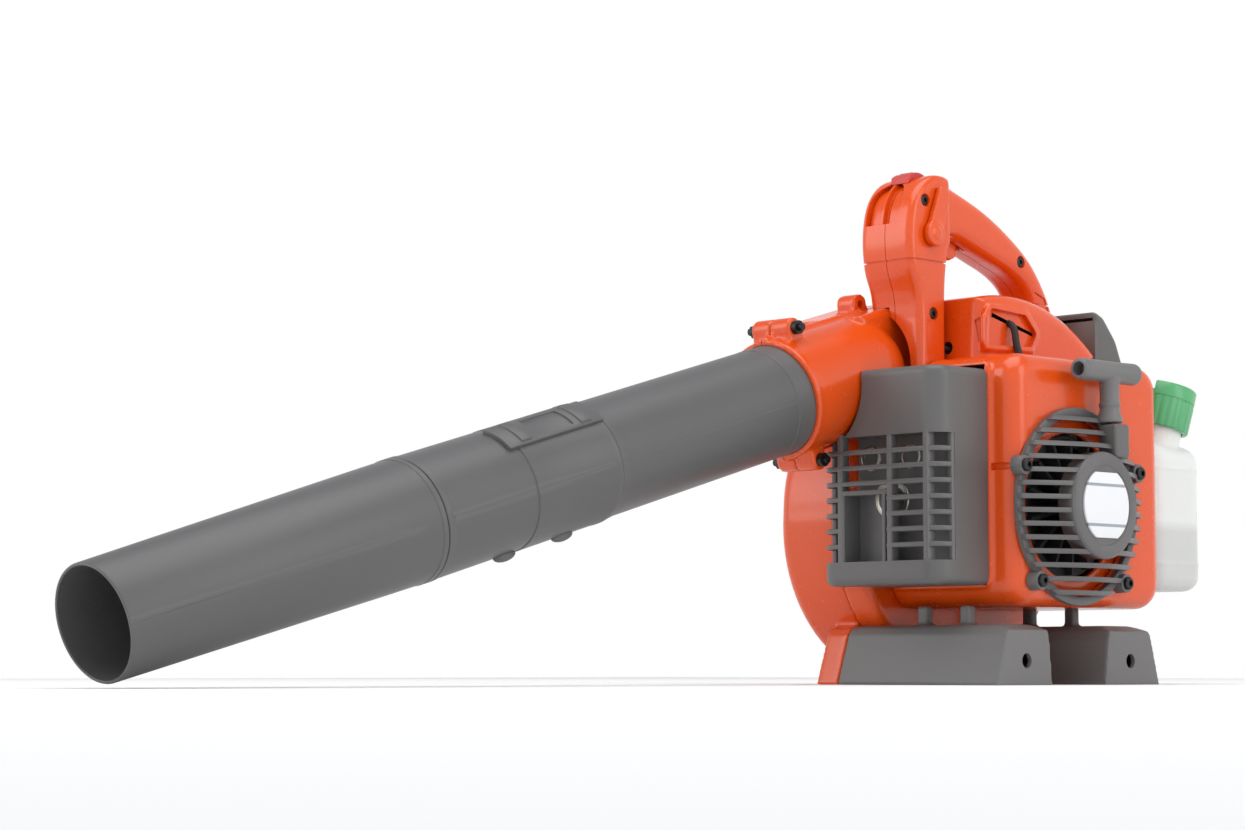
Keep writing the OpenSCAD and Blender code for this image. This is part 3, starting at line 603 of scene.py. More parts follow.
def metal(name, colour, roughness, grain_mm=0.0, brushed=None, depth=0.02, stain=None):
    """Bare or painted metal, cast if it has a grain or brushed along an axis."""
    f = Finish(name, roughness, metallic=1.0)
    clouds = f.noise(22.0, 4.0, 0.6)
    base = f.mix(clouds, shade(colour, 0.82), shade(colour, 1.12))
    if stain:
        base = f.mix(f.noise(9.0, 3.0).between(0.5, 0.7) * 0.5, base, shade(stain, 1.0))
    f.colour(base)
    f.roughness(roughness - 0.08 + clouds * 0.16)
    if brushed:
        stretch = f.node("ShaderNodeMapping", {}, {"Vector": f.places(), "Scale": brushed})
        f.relief(f.noise(300.0, 2.0, 0.7, stretch), depth)
    else:
        f.relief(f.grain(grain_mm or 0.6), depth)
    return f.material


FUEL_LEVEL = 0.112


def make_label():
    """A pale label with two plain grey bands."""
    f = Finish("Starter label", 0.3, coat=0.3)
    z = f.parts()[2]
    level = (z - (CRANK.z * MM + SHIFT.z)).magnitude()
    band = level.above(0.0125) - level.above(0.0145)
    f.colour(f.mix(band, (0.8, 0.81, 0.83, 1), (0.3, 0.33, 0.38, 1)))
    f.roughness(0.25 + f.noise(40.0) * 0.1)
    return f.material


def make_finishes(look):
    """Every finish of the machine, by the material slot that it takes the place of."""
    tank = Finish("Milky tank plastic", 0.35, **{"Subsurface Weight": 0.35, "Subsurface Scale": 0.02,
                                                 "Subsurface Radius": (1.0, 0.9, 0.8),
                                                 "IOR": 1.45})
    z = tank.parts()[2]
    haze = tank.noise(30.0, 3.0)
    level = z.between(FUEL_LEVEL - 0.004, FUEL_LEVEL + 0.004)
    wet = tank.mix(haze, shade(look.tank, 0.72), shade(look.tank, 0.8))
    dry = tank.mix(haze, shade(look.tank, 0.96), shade(look.tank, 1.02))
    tank.colour(tank.mix(level, wet, dry))
    tank.roughness(0.3 + haze * 0.15)
    tank.relief(tank.noise(60.0, 2.0), 0.15)

    foam = Finish("Filter foam", 0.95)
    cells = foam.grain(1.6)
    foam.colour(foam.mix(cells.between(0.1, 0.6), (0.006, 0.006, 0.007, 1), (0.05, 0.05, 0.052, 1)))
    foam.relief(cells, 0.6)

    rope = Finish("Braided cord", 0.85)
    x, y, z = rope.parts()
    rise, across = TAU / 0.0024, TAU / 0.0018
    braid = (z * rise + x * across).wave() * (z * rise - y * across).wave()
    rope.colour(rope.mix(braid.between(-0.8, 0.8), (0.02, 0.02, 0.02, 1), (0.14, 0.14, 0.135, 1)))
    rope.relief(braid, 0.25)

    return {
        "orange_plastic": plastic("Glossy orange shell", look.shell, 0.26, coat=0.25, wear=0.05),
        "dark_plastic": plastic("Grained tube plastic", look.tube, 0.42, 0.55, 0.05, wear=0.35),
        "black_plastic": plastic("Satin black plastic", look.cover, 0.4, 0.4, 0.03),
        "white_plastic": plastic("White label plastic", (0.78, 0.79, 0.8), 0.3, wear=0.0),
        "green_plastic": plastic("Fuel cap green", look.cap, 0.32, 0.5, 0.015, coat=0.15, wear=0.3),
        "tank_plastic": tank.material,
        "cast_aluminium": metal("Cast aluminium", (0.62, 0.62, 0.61), 0.45, 0.5, depth=0.08),
        "steel": metal("Turned steel", (0.6, 0.6, 0.6), 0.3, brushed=(0.05, 1.0, 1.0)),
        "black_steel": metal("Black screws", (0.05, 0.05, 0.052), 0.42, 0.3, depth=0.02),
        "muffler_steel": metal("Aluminised muffler steel", (0.72, 0.7, 0.66), 0.34, 0.8, depth=0.04,
                               stain=(0.5, 0.42, 0.3)),
        "rubber": plastic("Black rubber", (0.02, 0.02, 0.021), 0.65, 0.35, 0.04),
        "foam": foam.material,
        "rope": rope.material,
        "blue_plastic": plastic("Smoky blue", (0.06, 0.12, 0.22), 0.2, coat=0.4, wear=0.0),
        "red_plastic": plastic("Red switch plastic", (0.5, 0.03, 0.02), 0.35, 0.4, 0.015),
        "grey_plastic": plastic("Warm grey grip plastic", look.grey, 0.42, 0.45, 0.03),
        "foot": plastic("Grey foot plastic", look.grey, 0.45, 0.5, 0.03, wear=0.4),
        "label": make_label(),
    }


# ---------- blower tube ----------

TUBE_R = 37.7
SLEEVE_R = TUBE_R + 1
SPIGOT_R = TUBE_R - 1.5
BORE_R = SPIGOT_R - 2
MOUTH_R = 34
COLLAR_T = 17
LIP_T = 188.4
STEP_T = 262
LOWER_END_T = 337.4
MOUTH_T = 566.8


def parting_beads(t0, t1, r0, r1):
    """The fine raised lines that the two mould halves leave along both sides of a tube."""
    section = ((-1, -0.5), (0.22, -0.35), (0.22, 0.35), (-1, 0.5))
    ends = ((t0, r0), (t1, r1))
    return joined([lofted([[tube_at(t, side * (r + k), h) for k, h in section] for t, r in ends])
                   for side in (1, -1)])


def round_strip(t0, t1, middle_deg, half_deg, r_in, r_out, steps=10):
    """A curved plate lying round the tube, about an angle from +X towards the top."""
    angles = [math.radians(middle_deg + half_deg * (2 * k / steps - 1)) for k in range(steps + 1)]
    outline = [(math.cos(a) * r_out, math.sin(a) * r_out) for a in angles]
    outline += [(math.cos(a) * r_in, math.sin(a) * r_in) for a in reversed(angles)]
    return lofted([[tube_at(t, u, v) for u, v in outline] for t in (t0, t1)])


def build_tube(done):
    """The three lengths of tube, with their lips, steps and latch pad."""
    upper = turned(RIM, ALONG, [(-34, TUBE_R), (COLLAR_T - 0.6, TUBE_R), (COLLAR_T, TUBE_R - 0.5),
                                (COLLAR_T + 0.8, TUBE_R - 0.5), (COLLAR_T + 1.2, TUBE_R - 0.15),
                                (182, TUBE_R - 0.15), (182.6, TUBE_R + 0.4), (187.4, TUBE_R + 0.4),
                                (188, TUBE_R - 0.1), (188, SPIGOT_R), (227.4, SPIGOT_R),
                                (228, SPIGOT_R - 0.6), (228, BORE_R), (-34, BORE_R)], 112)
    piece = raw_object("tube_upper", upper)
    combined(piece, parting_beads(19, 181, TUBE_R - 0.15, TUBE_R - 0.15), "UNION")
    finished(shaded(piece), done["dark_plastic"], "root", ["upper_tube"])

    sleeve = turned(RIM, ALONG, [(LIP_T, SLEEVE_R - 0.4), (LIP_T + 0.6, SLEEVE_R + 0.3),
                                 (LIP_T + 4.4, SLEEVE_R + 0.3), (LIP_T + 4.9, SLEEVE_R),
                                 (STEP_T, SLEEVE_R), (STEP_T + 0.6, SLEEVE_R - 0.7),
                                 (STEP_T + 1.6, SLEEVE_R - 0.7), (STEP_T + 2, SLEEVE_R - 0.35),
                                 (LOWER_END_T - 5, SLEEVE_R - 0.35), (LOWER_END_T - 4.5, SLEEVE_R + 0.1),
                                 (LOWER_END_T - 0.5, SLEEVE_R + 0.1), (LOWER_END_T, SLEEVE_R - 0.4),
                                 (LOWER_END_T, SPIGOT_R), (LOWER_END_T + 24, SPIGOT_R),
                                 (LOWER_END_T + 24, BORE_R), (LIP_T + 44, BORE_R),
                                 (LIP_T + 44, SPIGOT_R + 0.4), (LIP_T, SPIGOT_R + 0.4)], 112)
    pad_end = LIP_T + 82
    pad = raw_object("latch", round_strip(LIP_T, pad_end, 60, 17.8, SLEEVE_R - 1, SLEEVE_R + 2.4))
    for t in (LIP_T + 10, pad_end - 20):
        combined(pad, round_strip(t, t + 9, 60, 15, SLEEVE_R, SLEEVE_R + 3.6), "UNION")
    combined(pad, round_strip(LIP_T + 24, pad_end - 27, 60, 12.5, SLEEVE_R + 0.9, SLEEVE_R + 9),
             "DIFFERENCE")
    edged(pad, 0.9, FINE_EDGE, 3)
    piece = raw_object("tube_lower", sleeve)
    combined(piece, parting_beads(LIP_T + 5, STEP_T, SLEEVE_R, SLEEVE_R)
             + parting_beads(STEP_T + 2, LOWER_END_T - 5, SLEEVE_R - 0.35, SLEEVE_R - 0.35), "UNION")
    for t in (LIP_T + 38, LIP_T + 88):
        a = math.radians(-72)
        middle = tube_at(t, math.cos(a) * (SLEEVE_R + 0.2), math.sin(a) * (SLEEVE_R + 0.2))
        combined(piece, spun(middle, ALONG, bead_profile(9, 3.6)), "UNION")
    combined(piece, pad, "UNION")
    finished(shaded(piece), done["dark_plastic"], "lower_tube", ["lower_tube"])

    start = LOWER_END_T + 0.4
    neck = start + 28
    neck_r = SLEEVE_R - (SLEEVE_R - MOUTH_R) * 28 / (MOUTH_T - start)
    nose = turned(RIM, ALONG, [(start, SLEEVE_R - 0.5), (start + 0.6, SLEEVE_R), (start + 4, SLEEVE_R),
                               (start + 4.5, SLEEVE_R - 0.4), (neck, neck_r - 0.2),
                               (MOUTH_T - 1.2, MOUTH_R), (MOUTH_T - 0.4, MOUTH_R - 0.3),
                               (MOUTH_T, MOUTH_R - 0.8), (MOUTH_T, MOUTH_R - 1.4),
                               (MOUTH_T - 0.6, MOUTH_R - 1.9), (neck, neck_r - 2.1),
                               (neck, SPIGOT_R + 0.4), (start, SPIGOT_R + 0.4)], 112)
    piece = raw_object("tube_nozzle", nose)
    combined(piece, parting_beads(neck, MOUTH_T - 1.2, neck_r - 0.2, MOUTH_R), "UNION")
    finished(shaded(piece), done["dark_plastic"], "nozzle", ["nozzle"])


# ---------- volute ----------

CLAMP_R = TUBE_R + 2.8
CLAMP_LEN = 80
VOLUTE_X = (-112, -60, -38)
TONGUE_R = 98
AXIS_ARM = -(RIM.y - CRANK.y) * math.sin(TILT) + (RIM.z - CRANK.z) * math.cos(TILT)
AXIS_FOOT = (RIM.y - CRANK.y) * math.cos(TILT) + (RIM.z - CRANK.z) * math.sin(TILT)
EXIT_R = AXIS_ARM + CLAMP_R
EXIT_DEG = 270 + math.degrees(TILT)
BOSS_UP = CLAMP_R + 5
INLET_R = 52
FOOT_H = 40


def volute_outline(inset, steps=72):
    """The snail's outline from the side: a spiral that opens into the outlet."""
    points = []
    for k in range(steps + 1):
        deg = -30 + (EXIT_DEG + 30) * k / steps
        r = TONGUE_R + (EXIT_R - TONGUE_R) * max(deg, 0) / EXIT_DEG - inset
        a = math.radians(deg)
        points.append((CRANK.y - r * math.cos(a), CRANK.z - r * math.sin(a)))
    for up in (EXIT_R - inset, AXIS_ARM - CLAMP_R + inset):
        back = -CLAMP_LEN - inset - AXIS_FOOT
        points.append((CRANK.y - up * math.sin(TILT) - back * math.cos(TILT),
                       CRANK.z + up * math.cos(TILT) - back * math.sin(TILT)))
    return points


def duct(r, t0, t1, ball_r=0):
    """The outlet's round barrel."""
    barrel = drum(tube_at(t0, 0, 0), tube_at(t1, 0, 0), r, n=96)
    return barrel + ball(tube_at(-CLAMP_LEN, 0, 0), ball_r, 48) if ball_r else barrel


def clamp_boss(t, up, side):
    """A screw boss on the duct: a drum with a block that joins it to the barrel."""
    middle = tube_at(t, 0, up)
    turn = Vector((side, 0, 0))
    low, high = (-12, 0) if up > 0 else (0, 12)
    foot = [(-7, low), (7, low), (7, high), (-7, high)]
    rings = [[tube_at(t + a, w * side, up + b) for a, b in foot] for w in (0, 17)]
    return drum(middle, middle + turn * 17, 7, n=32) + lofted(rings)


def flange(t0, t1, side):
    """The parting flange that runs along the top and the bottom of the duct."""
    strips = []
    for sign in (1, -1):
        box = [(t0, sign * (CLAMP_R - 2)), (t1, sign * (CLAMP_R - 2)), (t1, sign * (CLAMP_R + 2.4)),
               (t0, sign * (CLAMP_R + 2.4))]
        strips.append(lofted([[tube_at(t, w * side, up) for t, up in box] for w in (0, 3)]))
    return joined(strips)


def foot_outline(front, inset=0):
    """A foot from the side, as (y, z)."""
    if front:
        points = [(-104, 0), (-92, 34), (-88, 38.5), (-82, FOOT_H), (-54, FOOT_H), (-49, 37), (-47, 30),
                  (-44, 0)]
    else:
        points = [(15, 0), (19, 30), (21, 37), (26, FOOT_H), (58, FOOT_H), (64, 38.5), (68, 34), (78, 0)]
    return [(y, max(z, 0)) for y, z in shrunk(points, inset)] if inset else points


def foot_shell(front, x0, x1, wall=3):
    """An open-bottomed channel in the shape of a foot, and what hollows it."""
    hollow = [(y, -1 if z < 6 else z) for y, z in shrunk(foot_outline(front), wall)]
    return prism("x", foot_outline(front), x0, x1), prism("x", hollow, x0 - 1, x1 - wall)


def screw_holes(places, r):
    """Holes through the bosses, along X."""
    return joined([drum(tube_at(t, -30, up), tube_at(t, 30, up), r, n=20) for t, up in places])


def build_volute(done):
    """Both halves of the volute, with the outlet duct and its clamp bosses."""
    outer_x, seam_x, inner_x = VOLUTE_X
    clamps = [(-17, BOSS_UP), (-17, -BOSS_UP)]
    bosses = clamps + [(-108, BOSS_UP)]
    strips = [foot_shell(front, -79, seam_x) for front in (True, False)]
    add = pillow("x", volute_outline(0), outer_x, seam_x, 10, 0)
    add = add + duct(CLAMP_R, -CLAMP_LEN - 1, 0) + flange(-104, 0, -1)
    add = add + joined([clamp_boss(t, up, -1) for t, up in bosses]) + joined([s[0] for s in strips])
    cut = pillow("x", volute_outline(3), outer_x + 3, seam_x + 1, 7, 0)
    cut = cut + duct(TUBE_R + 0.3, -CLAMP_LEN - 40, 5) + screw_holes(bosses, 2.7)
    cut = cut + drum(on_crank(outer_x - 5, 0, 0), on_crank(outer_x + 10, 0, 0), INLET_R, n=96)
    cut = cut + block((seam_x - 0.25, -300, -50), (seam_x + 200, 300, 400))
    piece = moulded("volute_intake_side", add, cut, 1.4, 5)
    finished(piece, done["orange_plastic"], "root", ["volute_outer"])

    add = pillow("x", volute_outline(0), seam_x, inner_x, 0, 5)
    add = add + duct(CLAMP_R, -CLAMP_LEN - 1, 0, CLAMP_R) + flange(-104, 0, 1)
    add = add + joined([clamp_boss(t, up, 1) for t, up in clamps])
    add = add + turned(RIM, ALONG, [(-4.5, CLAMP_R - 1), (-4, CLAMP_R + 0.7), (-0.6, CLAMP_R + 0.7),
                                    (0, CLAMP_R), (0, CLAMP_R - 1)], 96)
    cut = pillow("x", volute_outline(3), seam_x - 1, inner_x - 3, 0, 3)
    cut = cut + duct(TUBE_R + 0.3, -CLAMP_LEN - 1, 5, TUBE_R + 0.3) + screw_holes(clamps, 2.7)
    cut = cut + drum(on_crank(inner_x - 10, 0, 0), on_crank(inner_x + 5, 0, 0), 20, n=48)
    cut = cut + block((seam_x - 200, -300, -50), (seam_x + 0.25, 300, 400))
    piece = moulded("volute_engine_side", add, cut, 1.2, 5)
    finished(piece, done["orange_plastic"], "root", ["volute_inner"])


# ---------- handle ----------

HANDLE_X = -33
BAR_X = (-49, -17)
COLUMN_X = (-56, -10)
HANDLE_OUT = [(-72, 214), (-72, 262), (-80, 285), (-82, 310), (-77, 332), (-64, 347), (-46, 352), (-24, 346),
              (12, 334), (42, 319), (65, 303), (81, 284), (90.5, 266), (94.2, 246), (94.4, 226)]
HANDLE_IN = [(70, 226), (69, 258), (61, 279), (44, 291), (20, 299), (0, 305), (-22, 311), (-35, 307),
             (-40, 294), (-43, 266), (-43, 214)]
SCREW_HEADS = [(-10, -66, 332), (-17, 50, 301), (-10, -58, 254)]
# The throttle lock turns about this (y, z)
LOCK_PIVOT = (-60, 309)
DOME_X = 18
DOME_R = 150


def handle_outline(inset, column=False):
    """The grip, its column and its post from the side."""
    points = smooth_path(HANDLE_OUT, 4) + smooth_path(HANDLE_IN, 4)
    if column:
        low, high = smooth_path(HANDLE_OUT[:9], 4), smooth_path(HANDLE_IN[-5:], 4)
        points = [p for p in low if p[0] < -40] + [Vector((-37, 350)), Vector((-37, 306))] + high[4:]
    return shrunk([tuple(p) for p in points], inset) if inset else [tuple(p) for p in points]


def handle_shape(inset):
    """Column, bar and post as one full shape, softly rounded."""
    bar = pillow("x", handle_outline(inset), BAR_X[0] + inset, BAR_X[1] - inset, 8)
    column = pillow("x", handle_outline(inset, True), COLUMN_X[0] + inset, COLUMN_X[1] - inset, 5)
    return bar + column


def dome_outline(inset):
    """The dome under the finger gap, from the side."""
    points = [(95 - inset, 190 + inset), (95 - inset, 235.3 - inset)]
    for k in range(25):
        a = math.radians(52 + 52 * k / 24)
        points.append(((DOME_R - inset) * math.cos(a), 120 + (DOME_R - inset) * math.sin(a)))
    return points + [(-41 + inset, 190 + inset)]


def arch(x0, x1, z0, z1, steps=12):
    """A doorway outline with a round top."""
    r = (x1 - x0) / 2
    top = [((x0 + x1) / 2 + r * math.cos(math.pi * k / steps), z1 - r + r * math.sin(math.pi * k / steps))
           for k in range(steps + 1)]
    return [(x0, z0), (x1, z0)] + top


def build_handle(done):
    """The two handle halves, parted down the middle, with their pocket, grooves and screw recesses."""
    whole = moulded("handle_whole", handle_shape(0), None, 1.3, 12)
    within = skinned(raw_object("within", handle_shape(3.4)), 1.6, 4)
    pocket = raw_object("pocket", prism("y", arch(-51, -22, 316, 347), -110, -55))
    combined(pocket, block((-37.5, -120, 300), (-35.5, -40, 360)), "DIFFERENCE")
    combined(pocket, within, "DIFFERENCE")
    combined(whole, pocket, "DIFFERENCE")
    for slab in (block((-80, -100, 289.6), (0, -37.5, 291)), block((-80, 55, 271.6), (0, 110, 273))):
        groove = raw_object("groove", slab)
        core = skinned(raw_object("core", handle_shape(1.1)), 1.6, 8)
        combined(groove, core, "DIFFERENCE")
        combined(whole, groove, "DIFFERENCE")
    recess = [(88, 230), (86, 262), (78, 277), (66, 281), (72, 262), (74, 230)]
    shared = prism("x", dome_outline(0), VOLUTE_X[2] - 0.2, DOME_X)
    shared = shared + prism("x", volute_outline(-0.1), VOLUTE_X[0], VOLUTE_X[2] + 0.1)
    shared = shared + duct(CLAMP_R + 0.2, -CLAMP_LEN - 50, 5)
    shared = shared + block((-38.5, -33, 280), (-27.5, -1, 319)) + block((-42, -66, 345), (-24, -44, 365))
    shared = shared + drum((-25, *LOCK_PIVOT), (-5, *LOCK_PIVOT), 3.3)
    shared = shared + prism("x", recess, BAR_X[1] - 1.2, BAR_X[1] + 5)
    for x, y, z in SCREW_HEADS:
        shared = shared + drum((x - 2, y, z), (x + 2, y, z), 4.3, 4.9, 32)
    combined(whole, shared, "DIFFERENCE")
    for name, node, low, high in (("handle_engine_side", "handle_left", -200, HANDLE_X + 0.25),
                                  ("handle_fan_side", "handle_right", HANDLE_X - 0.25, 200)):
        piece = bpy.data.objects.new(name, whole.data.copy())
        bpy.context.scene.collection.objects.link(piece)
        combined(piece, block((low, -300, 0), (high, 300, 500)), "DIFFERENCE")
        finished(shaded(piece, SHELL_EDGE), done["orange_plastic"], "root", [node])
    dropped(whole)


# ---------- shroud, muffler and guard ----------

SHROUD_Y = (-72, 95)
SHROUD_Z = (52, 222)
STARTER_X = 70
STARTER_R = 67
STARTER_BOSSES = [(-64, 25), (64, 25), (-48, -51), (48, -51)]


def shroud_shape(inset):
    """The shroud's body and the dome on it, as full shapes."""
    box = rect((SHROUD_Y[0] + inset, SHROUD_Z[0] + inset), (SHROUD_Y[1] - inset, SHROUD_Z[1] - inset))
    start = VOLUTE_X[2] - (1 if inset else 0)
    body = pillow("x", rounded(box, 18 - inset, 8), start, STARTER_X - inset, 0, 13, 8)
    return body + pillow("x", dome_outline(inset), start, DOME_X - inset, 0, 12, 8)


def build_shroud(done):
    """The engine shroud with its dome, its spark plug window and its front lip."""
    cut = shroud_shape(2.6) + drum(on_crank(50, 0, 0), on_crank(80, 0, 0), 60, n=96)
    cut = cut + block((-40, -77, 66), (46, -52, 214)) + block((-60, -74, 212), (-9, -42, 272))
    cut = cut + block((-34, 85, 125), (32, 105, 232)) + duct(CLAMP_R + 0.3, -CLAMP_LEN - 1, 0)
    window = rounded([(-37, 232), (14, 234), (20, 244), (8, 256), (-30, 258), (-37, 250)], 3)
    cut = cut + prism("x", window, -5, DOME_X + 4) + drum((-14, -50, 232), (-14, -36, 232), 4.5)
    cut = cut + block((VOLUTE_X[2] - 50, -200, 0), (VOLUTE_X[2], 200, 400))
    for y, z in STARTER_BOSSES:
        cut = cut + drum(on_crank(50, y, z), on_crank(80, y, z), 2.6)
    add = shroud_shape(0)
    lip = rounded(rect((-39.5, 64), (50, 217)), 9)
    add = add + prism("y", lip, SHROUD_Y[0] - 2.2, SHROUD_Y[0] + 4)
    add = add + prism("x", shrunk(window, -3), DOME_X - 3, DOME_X + 0.9)
    ledge = rounded([(-38, 228), (16, 230), (15, 233), (-37, 231)], 0.8)
    add = add + prism("x", ledge, DOME_X - 4, DOME_X + 2.4)
    finished(moulded("shroud_shell", add, cut, 1.2, 5), done["orange_plastic"], "root", ["engine_shroud"])


MUFFLER_X = -6
MUFFLER_Y = (-108, -76, -45)
OUTLETS_X = (MUFFLER_X - 17.5, MUFFLER_X + 17.5)
OUTLET_Z = 152


def muffler_outline(grow=0):
    """The muffler from the front."""
    points = [(-11, 186), (-29, 165), (-29, 132), (-20, 98), (20, 98), (29, 132), (29, 186)]
    points = [(MUFFLER_X + x, z) for x, z in points]
    return rounded(shrunk(points, -grow) if grow else points, 6)


def build_muffler(done):
    """The pressed muffler: two shells with a crimped flange, its outlets, slot and bolts."""
    front, split, back = MUFFLER_Y
    add = pillow("y", muffler_outline(), front, split, 5, 0)
    cut = block((MUFFLER_X - 5, front - 4, 118), (MUFFLER_X + 5, front + 12, 123))
    flange_part = prism("y", muffler_outline(2.5), split - 2, split - 0.1)
    for x in OUTLETS_X:
        add = add + drum((x, front - 2.5, OUTLET_Z), (x, front + 22, OUTLET_Z), 8.4)
        cut = cut + drum((x, front - 4, OUTLET_Z), (x, front + 18.5, OUTLET_Z), 6.6)
    rib = rounded(rect((MUFFLER_X - 15, 112), (MUFFLER_X + 15, 136)), 11)
    ridge = raw_object("ridge", pillow("y", rib, front - 1.4, front + 2, 1.2, 0))
    combined(ridge, prism("y", shrunk(rib, 4), front - 5, front + 5), "DIFFERENCE")
    combined(ridge, block((MUFFLER_X - 5, front - 4, 118), (MUFFLER_X + 5, front + 4, 123)), "DIFFERENCE")
    piece = moulded("muffler_front", add + flange_part, cut, 0.8, 3)
    combined(piece, ridge, "UNION")
    finished(shaded(piece, SHELL_EDGE), done["muffler_steel"], "root", ["muffler_cover"])

    add = pillow("y", muffler_outline(), split, back, 0, 4)
    add = add + prism("y", muffler_outline(2.5), split, split + 2)
    cut = pillow("y", muffler_outline(-1.6), split - 1, back - 1.6, 0, 3)
    cut = cut + joined([drum((x, -90, OUTLET_Z), (x, -40, OUTLET_Z), 2.7) for x in OUTLETS_X])
    cut = cut + block((MUFFLER_X, back - 5, 170), (MUFFLER_X + 16, back + 15, 180))
    finished(bevelled("muffler_back", add, 0.4, cut), done["muffler_steel"], "root", ["muffler_shell"])
    bolts = joined([hex_bolt((x, front + 22.6, OUTLET_Z), (0, -1, 0), 5, 4, 2.6, 46) for x in OUTLETS_X])
    finished(bevelled("muffler_screws", bolts, 0.35), done["black_steel"], "root", ["muffler_bolts"])


GUARD_LOW = (-57, -126, 66)
GUARD_HIGH = (48, -72, 211)
WINDOW_Z = (82, 166)
BAR_PITCH = 10.5
BEND_R = 14
GAP_X = (-35.5, 3)
GAP_TOP = WINDOW_Z[0] + 46


def guard_outline(inset, back=40):
    """The guard from above: a box with rounded front corners."""
    low = (GUARD_LOW[0] + inset, GUARD_LOW[1] + inset)
    high = (GUARD_HIGH[0] - inset, GUARD_HIGH[1] + back)
    return rounded(rect(low, high), [BEND_R - inset, BEND_R - inset, 0.5, 0.5], 8)


def slat_path(inset, x_from=None, x_to=None):
    """The line that a slat follows round the guard's front, from the left to the right."""
    low, high = Vector(GUARD_LOW), Vector(GUARD_HIGH)
    r = BEND_R - inset
    left, right, front = low.x + inset, high.x - inset, low.y + inset
    points = [Vector((left, -113, 0)), Vector((left, front + r, 0))]
    points += [Vector((left + r - r * math.cos(a), front + r - r * math.sin(a), 0))
               for a in (TAU / 4 * k / 6 for k in range(1, 7))]
    points += [Vector((right - r + r * math.sin(a), front + r - r * math.cos(a), 0))
               for a in (TAU / 4 * k / 6 for k in range(7))]
    points.append(Vector((right, -112, 0)))
    points = [p for p in points if (x_from is None or p.x >= x_from) and (x_to is None or p.x <= x_to)]
    if x_from is not None:
        points.insert(0, Vector((x_from, front, 0)))
    if x_to is not None:
        points.append(Vector((x_to, front, 0)))
    return points


def build_guard(done):
    """The muffler guard: a moulded shell with a window of slats and an outlet in them."""
    add = pillow("z", guard_outline(0), GUARD_LOW[2], GUARD_HIGH[2], 5)
    cut = pillow("z", guard_outline(3), GUARD_LOW[2] + 3, GUARD_HIGH[2] - 3, 3)
    cut = cut + block((-60, -130, WINDOW_Z[0]), (50, -109, WINDOW_Z[1]))
    cut = cut + block((-80, GUARD_HIGH[1], 0), (120, 60, 300))
    cut = cut + duct(CLAMP_R + 2, -200, 100).moved(lambda p: p - Vector((0, 0, 2)))
    cut = cut + block((-80, -109, 0), (-35, -49, 300))
    cut = cut + drum(on_crank(VOLUTE_X[0], 0, 0), on_crank(VOLUTE_X[2] + 0.5, 0, 0), TONGUE_R + 2, n=96)
    body = moulded("guard_shell", add, cut, 1.2, 3)
    finished(body, done["black_plastic"], "root", ["muffler_guard"])

    section = rounded(rect((-2, -1.7), (2, 1.7)), 0.9, 3)
    bars = []
    z = WINDOW_Z[0] + BAR_PITCH
    while z < WINDOW_Z[1] - 5:
        spans = [(None, GAP_X[0]), (GAP_X[1], None)] if z < GAP_TOP else [(None, None)]
        for x_from, x_to in spans:
            path = [p + Vector((0, 0, z)) for p in slat_path(2.2, x_from, x_to)]
            bars.append(swept(path, section))
        z += BAR_PITCH
    for x in (-40, 3, 34):
        post = rect((x, GUARD_LOW[1] + 0.3), (x + 4.5, GUARD_LOW[1] + 8))
        bars.append(pillow("z", rounded(post, 0.8, 2), WINDOW_Z[0] - 2, WINDOW_Z[1] + 2, 0))
    for x in (GUARD_LOW[0] + 0.3, GUARD_HIGH[0] - 4.3):
        bars.append(pillow("z", rounded(rect((x, -112), (x + 4, -107)), 0.8, 2), WINDOW_Z[0] - 2,
                           WINDOW_Z[1] + 2, 0))
    for x in (GAP_X[0], 0):
        low = (x - 1.4, GUARD_LOW[1] + 0.4, WINDOW_Z[0] - 2)
        bars.append(soft_box(low, (x + 1.4, -108, GAP_TOP + 1), 0.9))
    bars.append(soft_box((-37, GUARD_LOW[1] + 0.3, GAP_TOP - 1.5), (3, -118, GAP_TOP + 2), 0.9))
    piece = shaded(raw_object("guard_slats", joined(bars)), SHELL_EDGE)
    finished(piece, done["black_plastic"], "root", [])


# ---------- recoil starter ----------

SLATS = 14
ROPE_X = 84.5
ROPE_Y = CRANK.y + 21.4
EYELET_Z = 176
GRIP_Z = 212


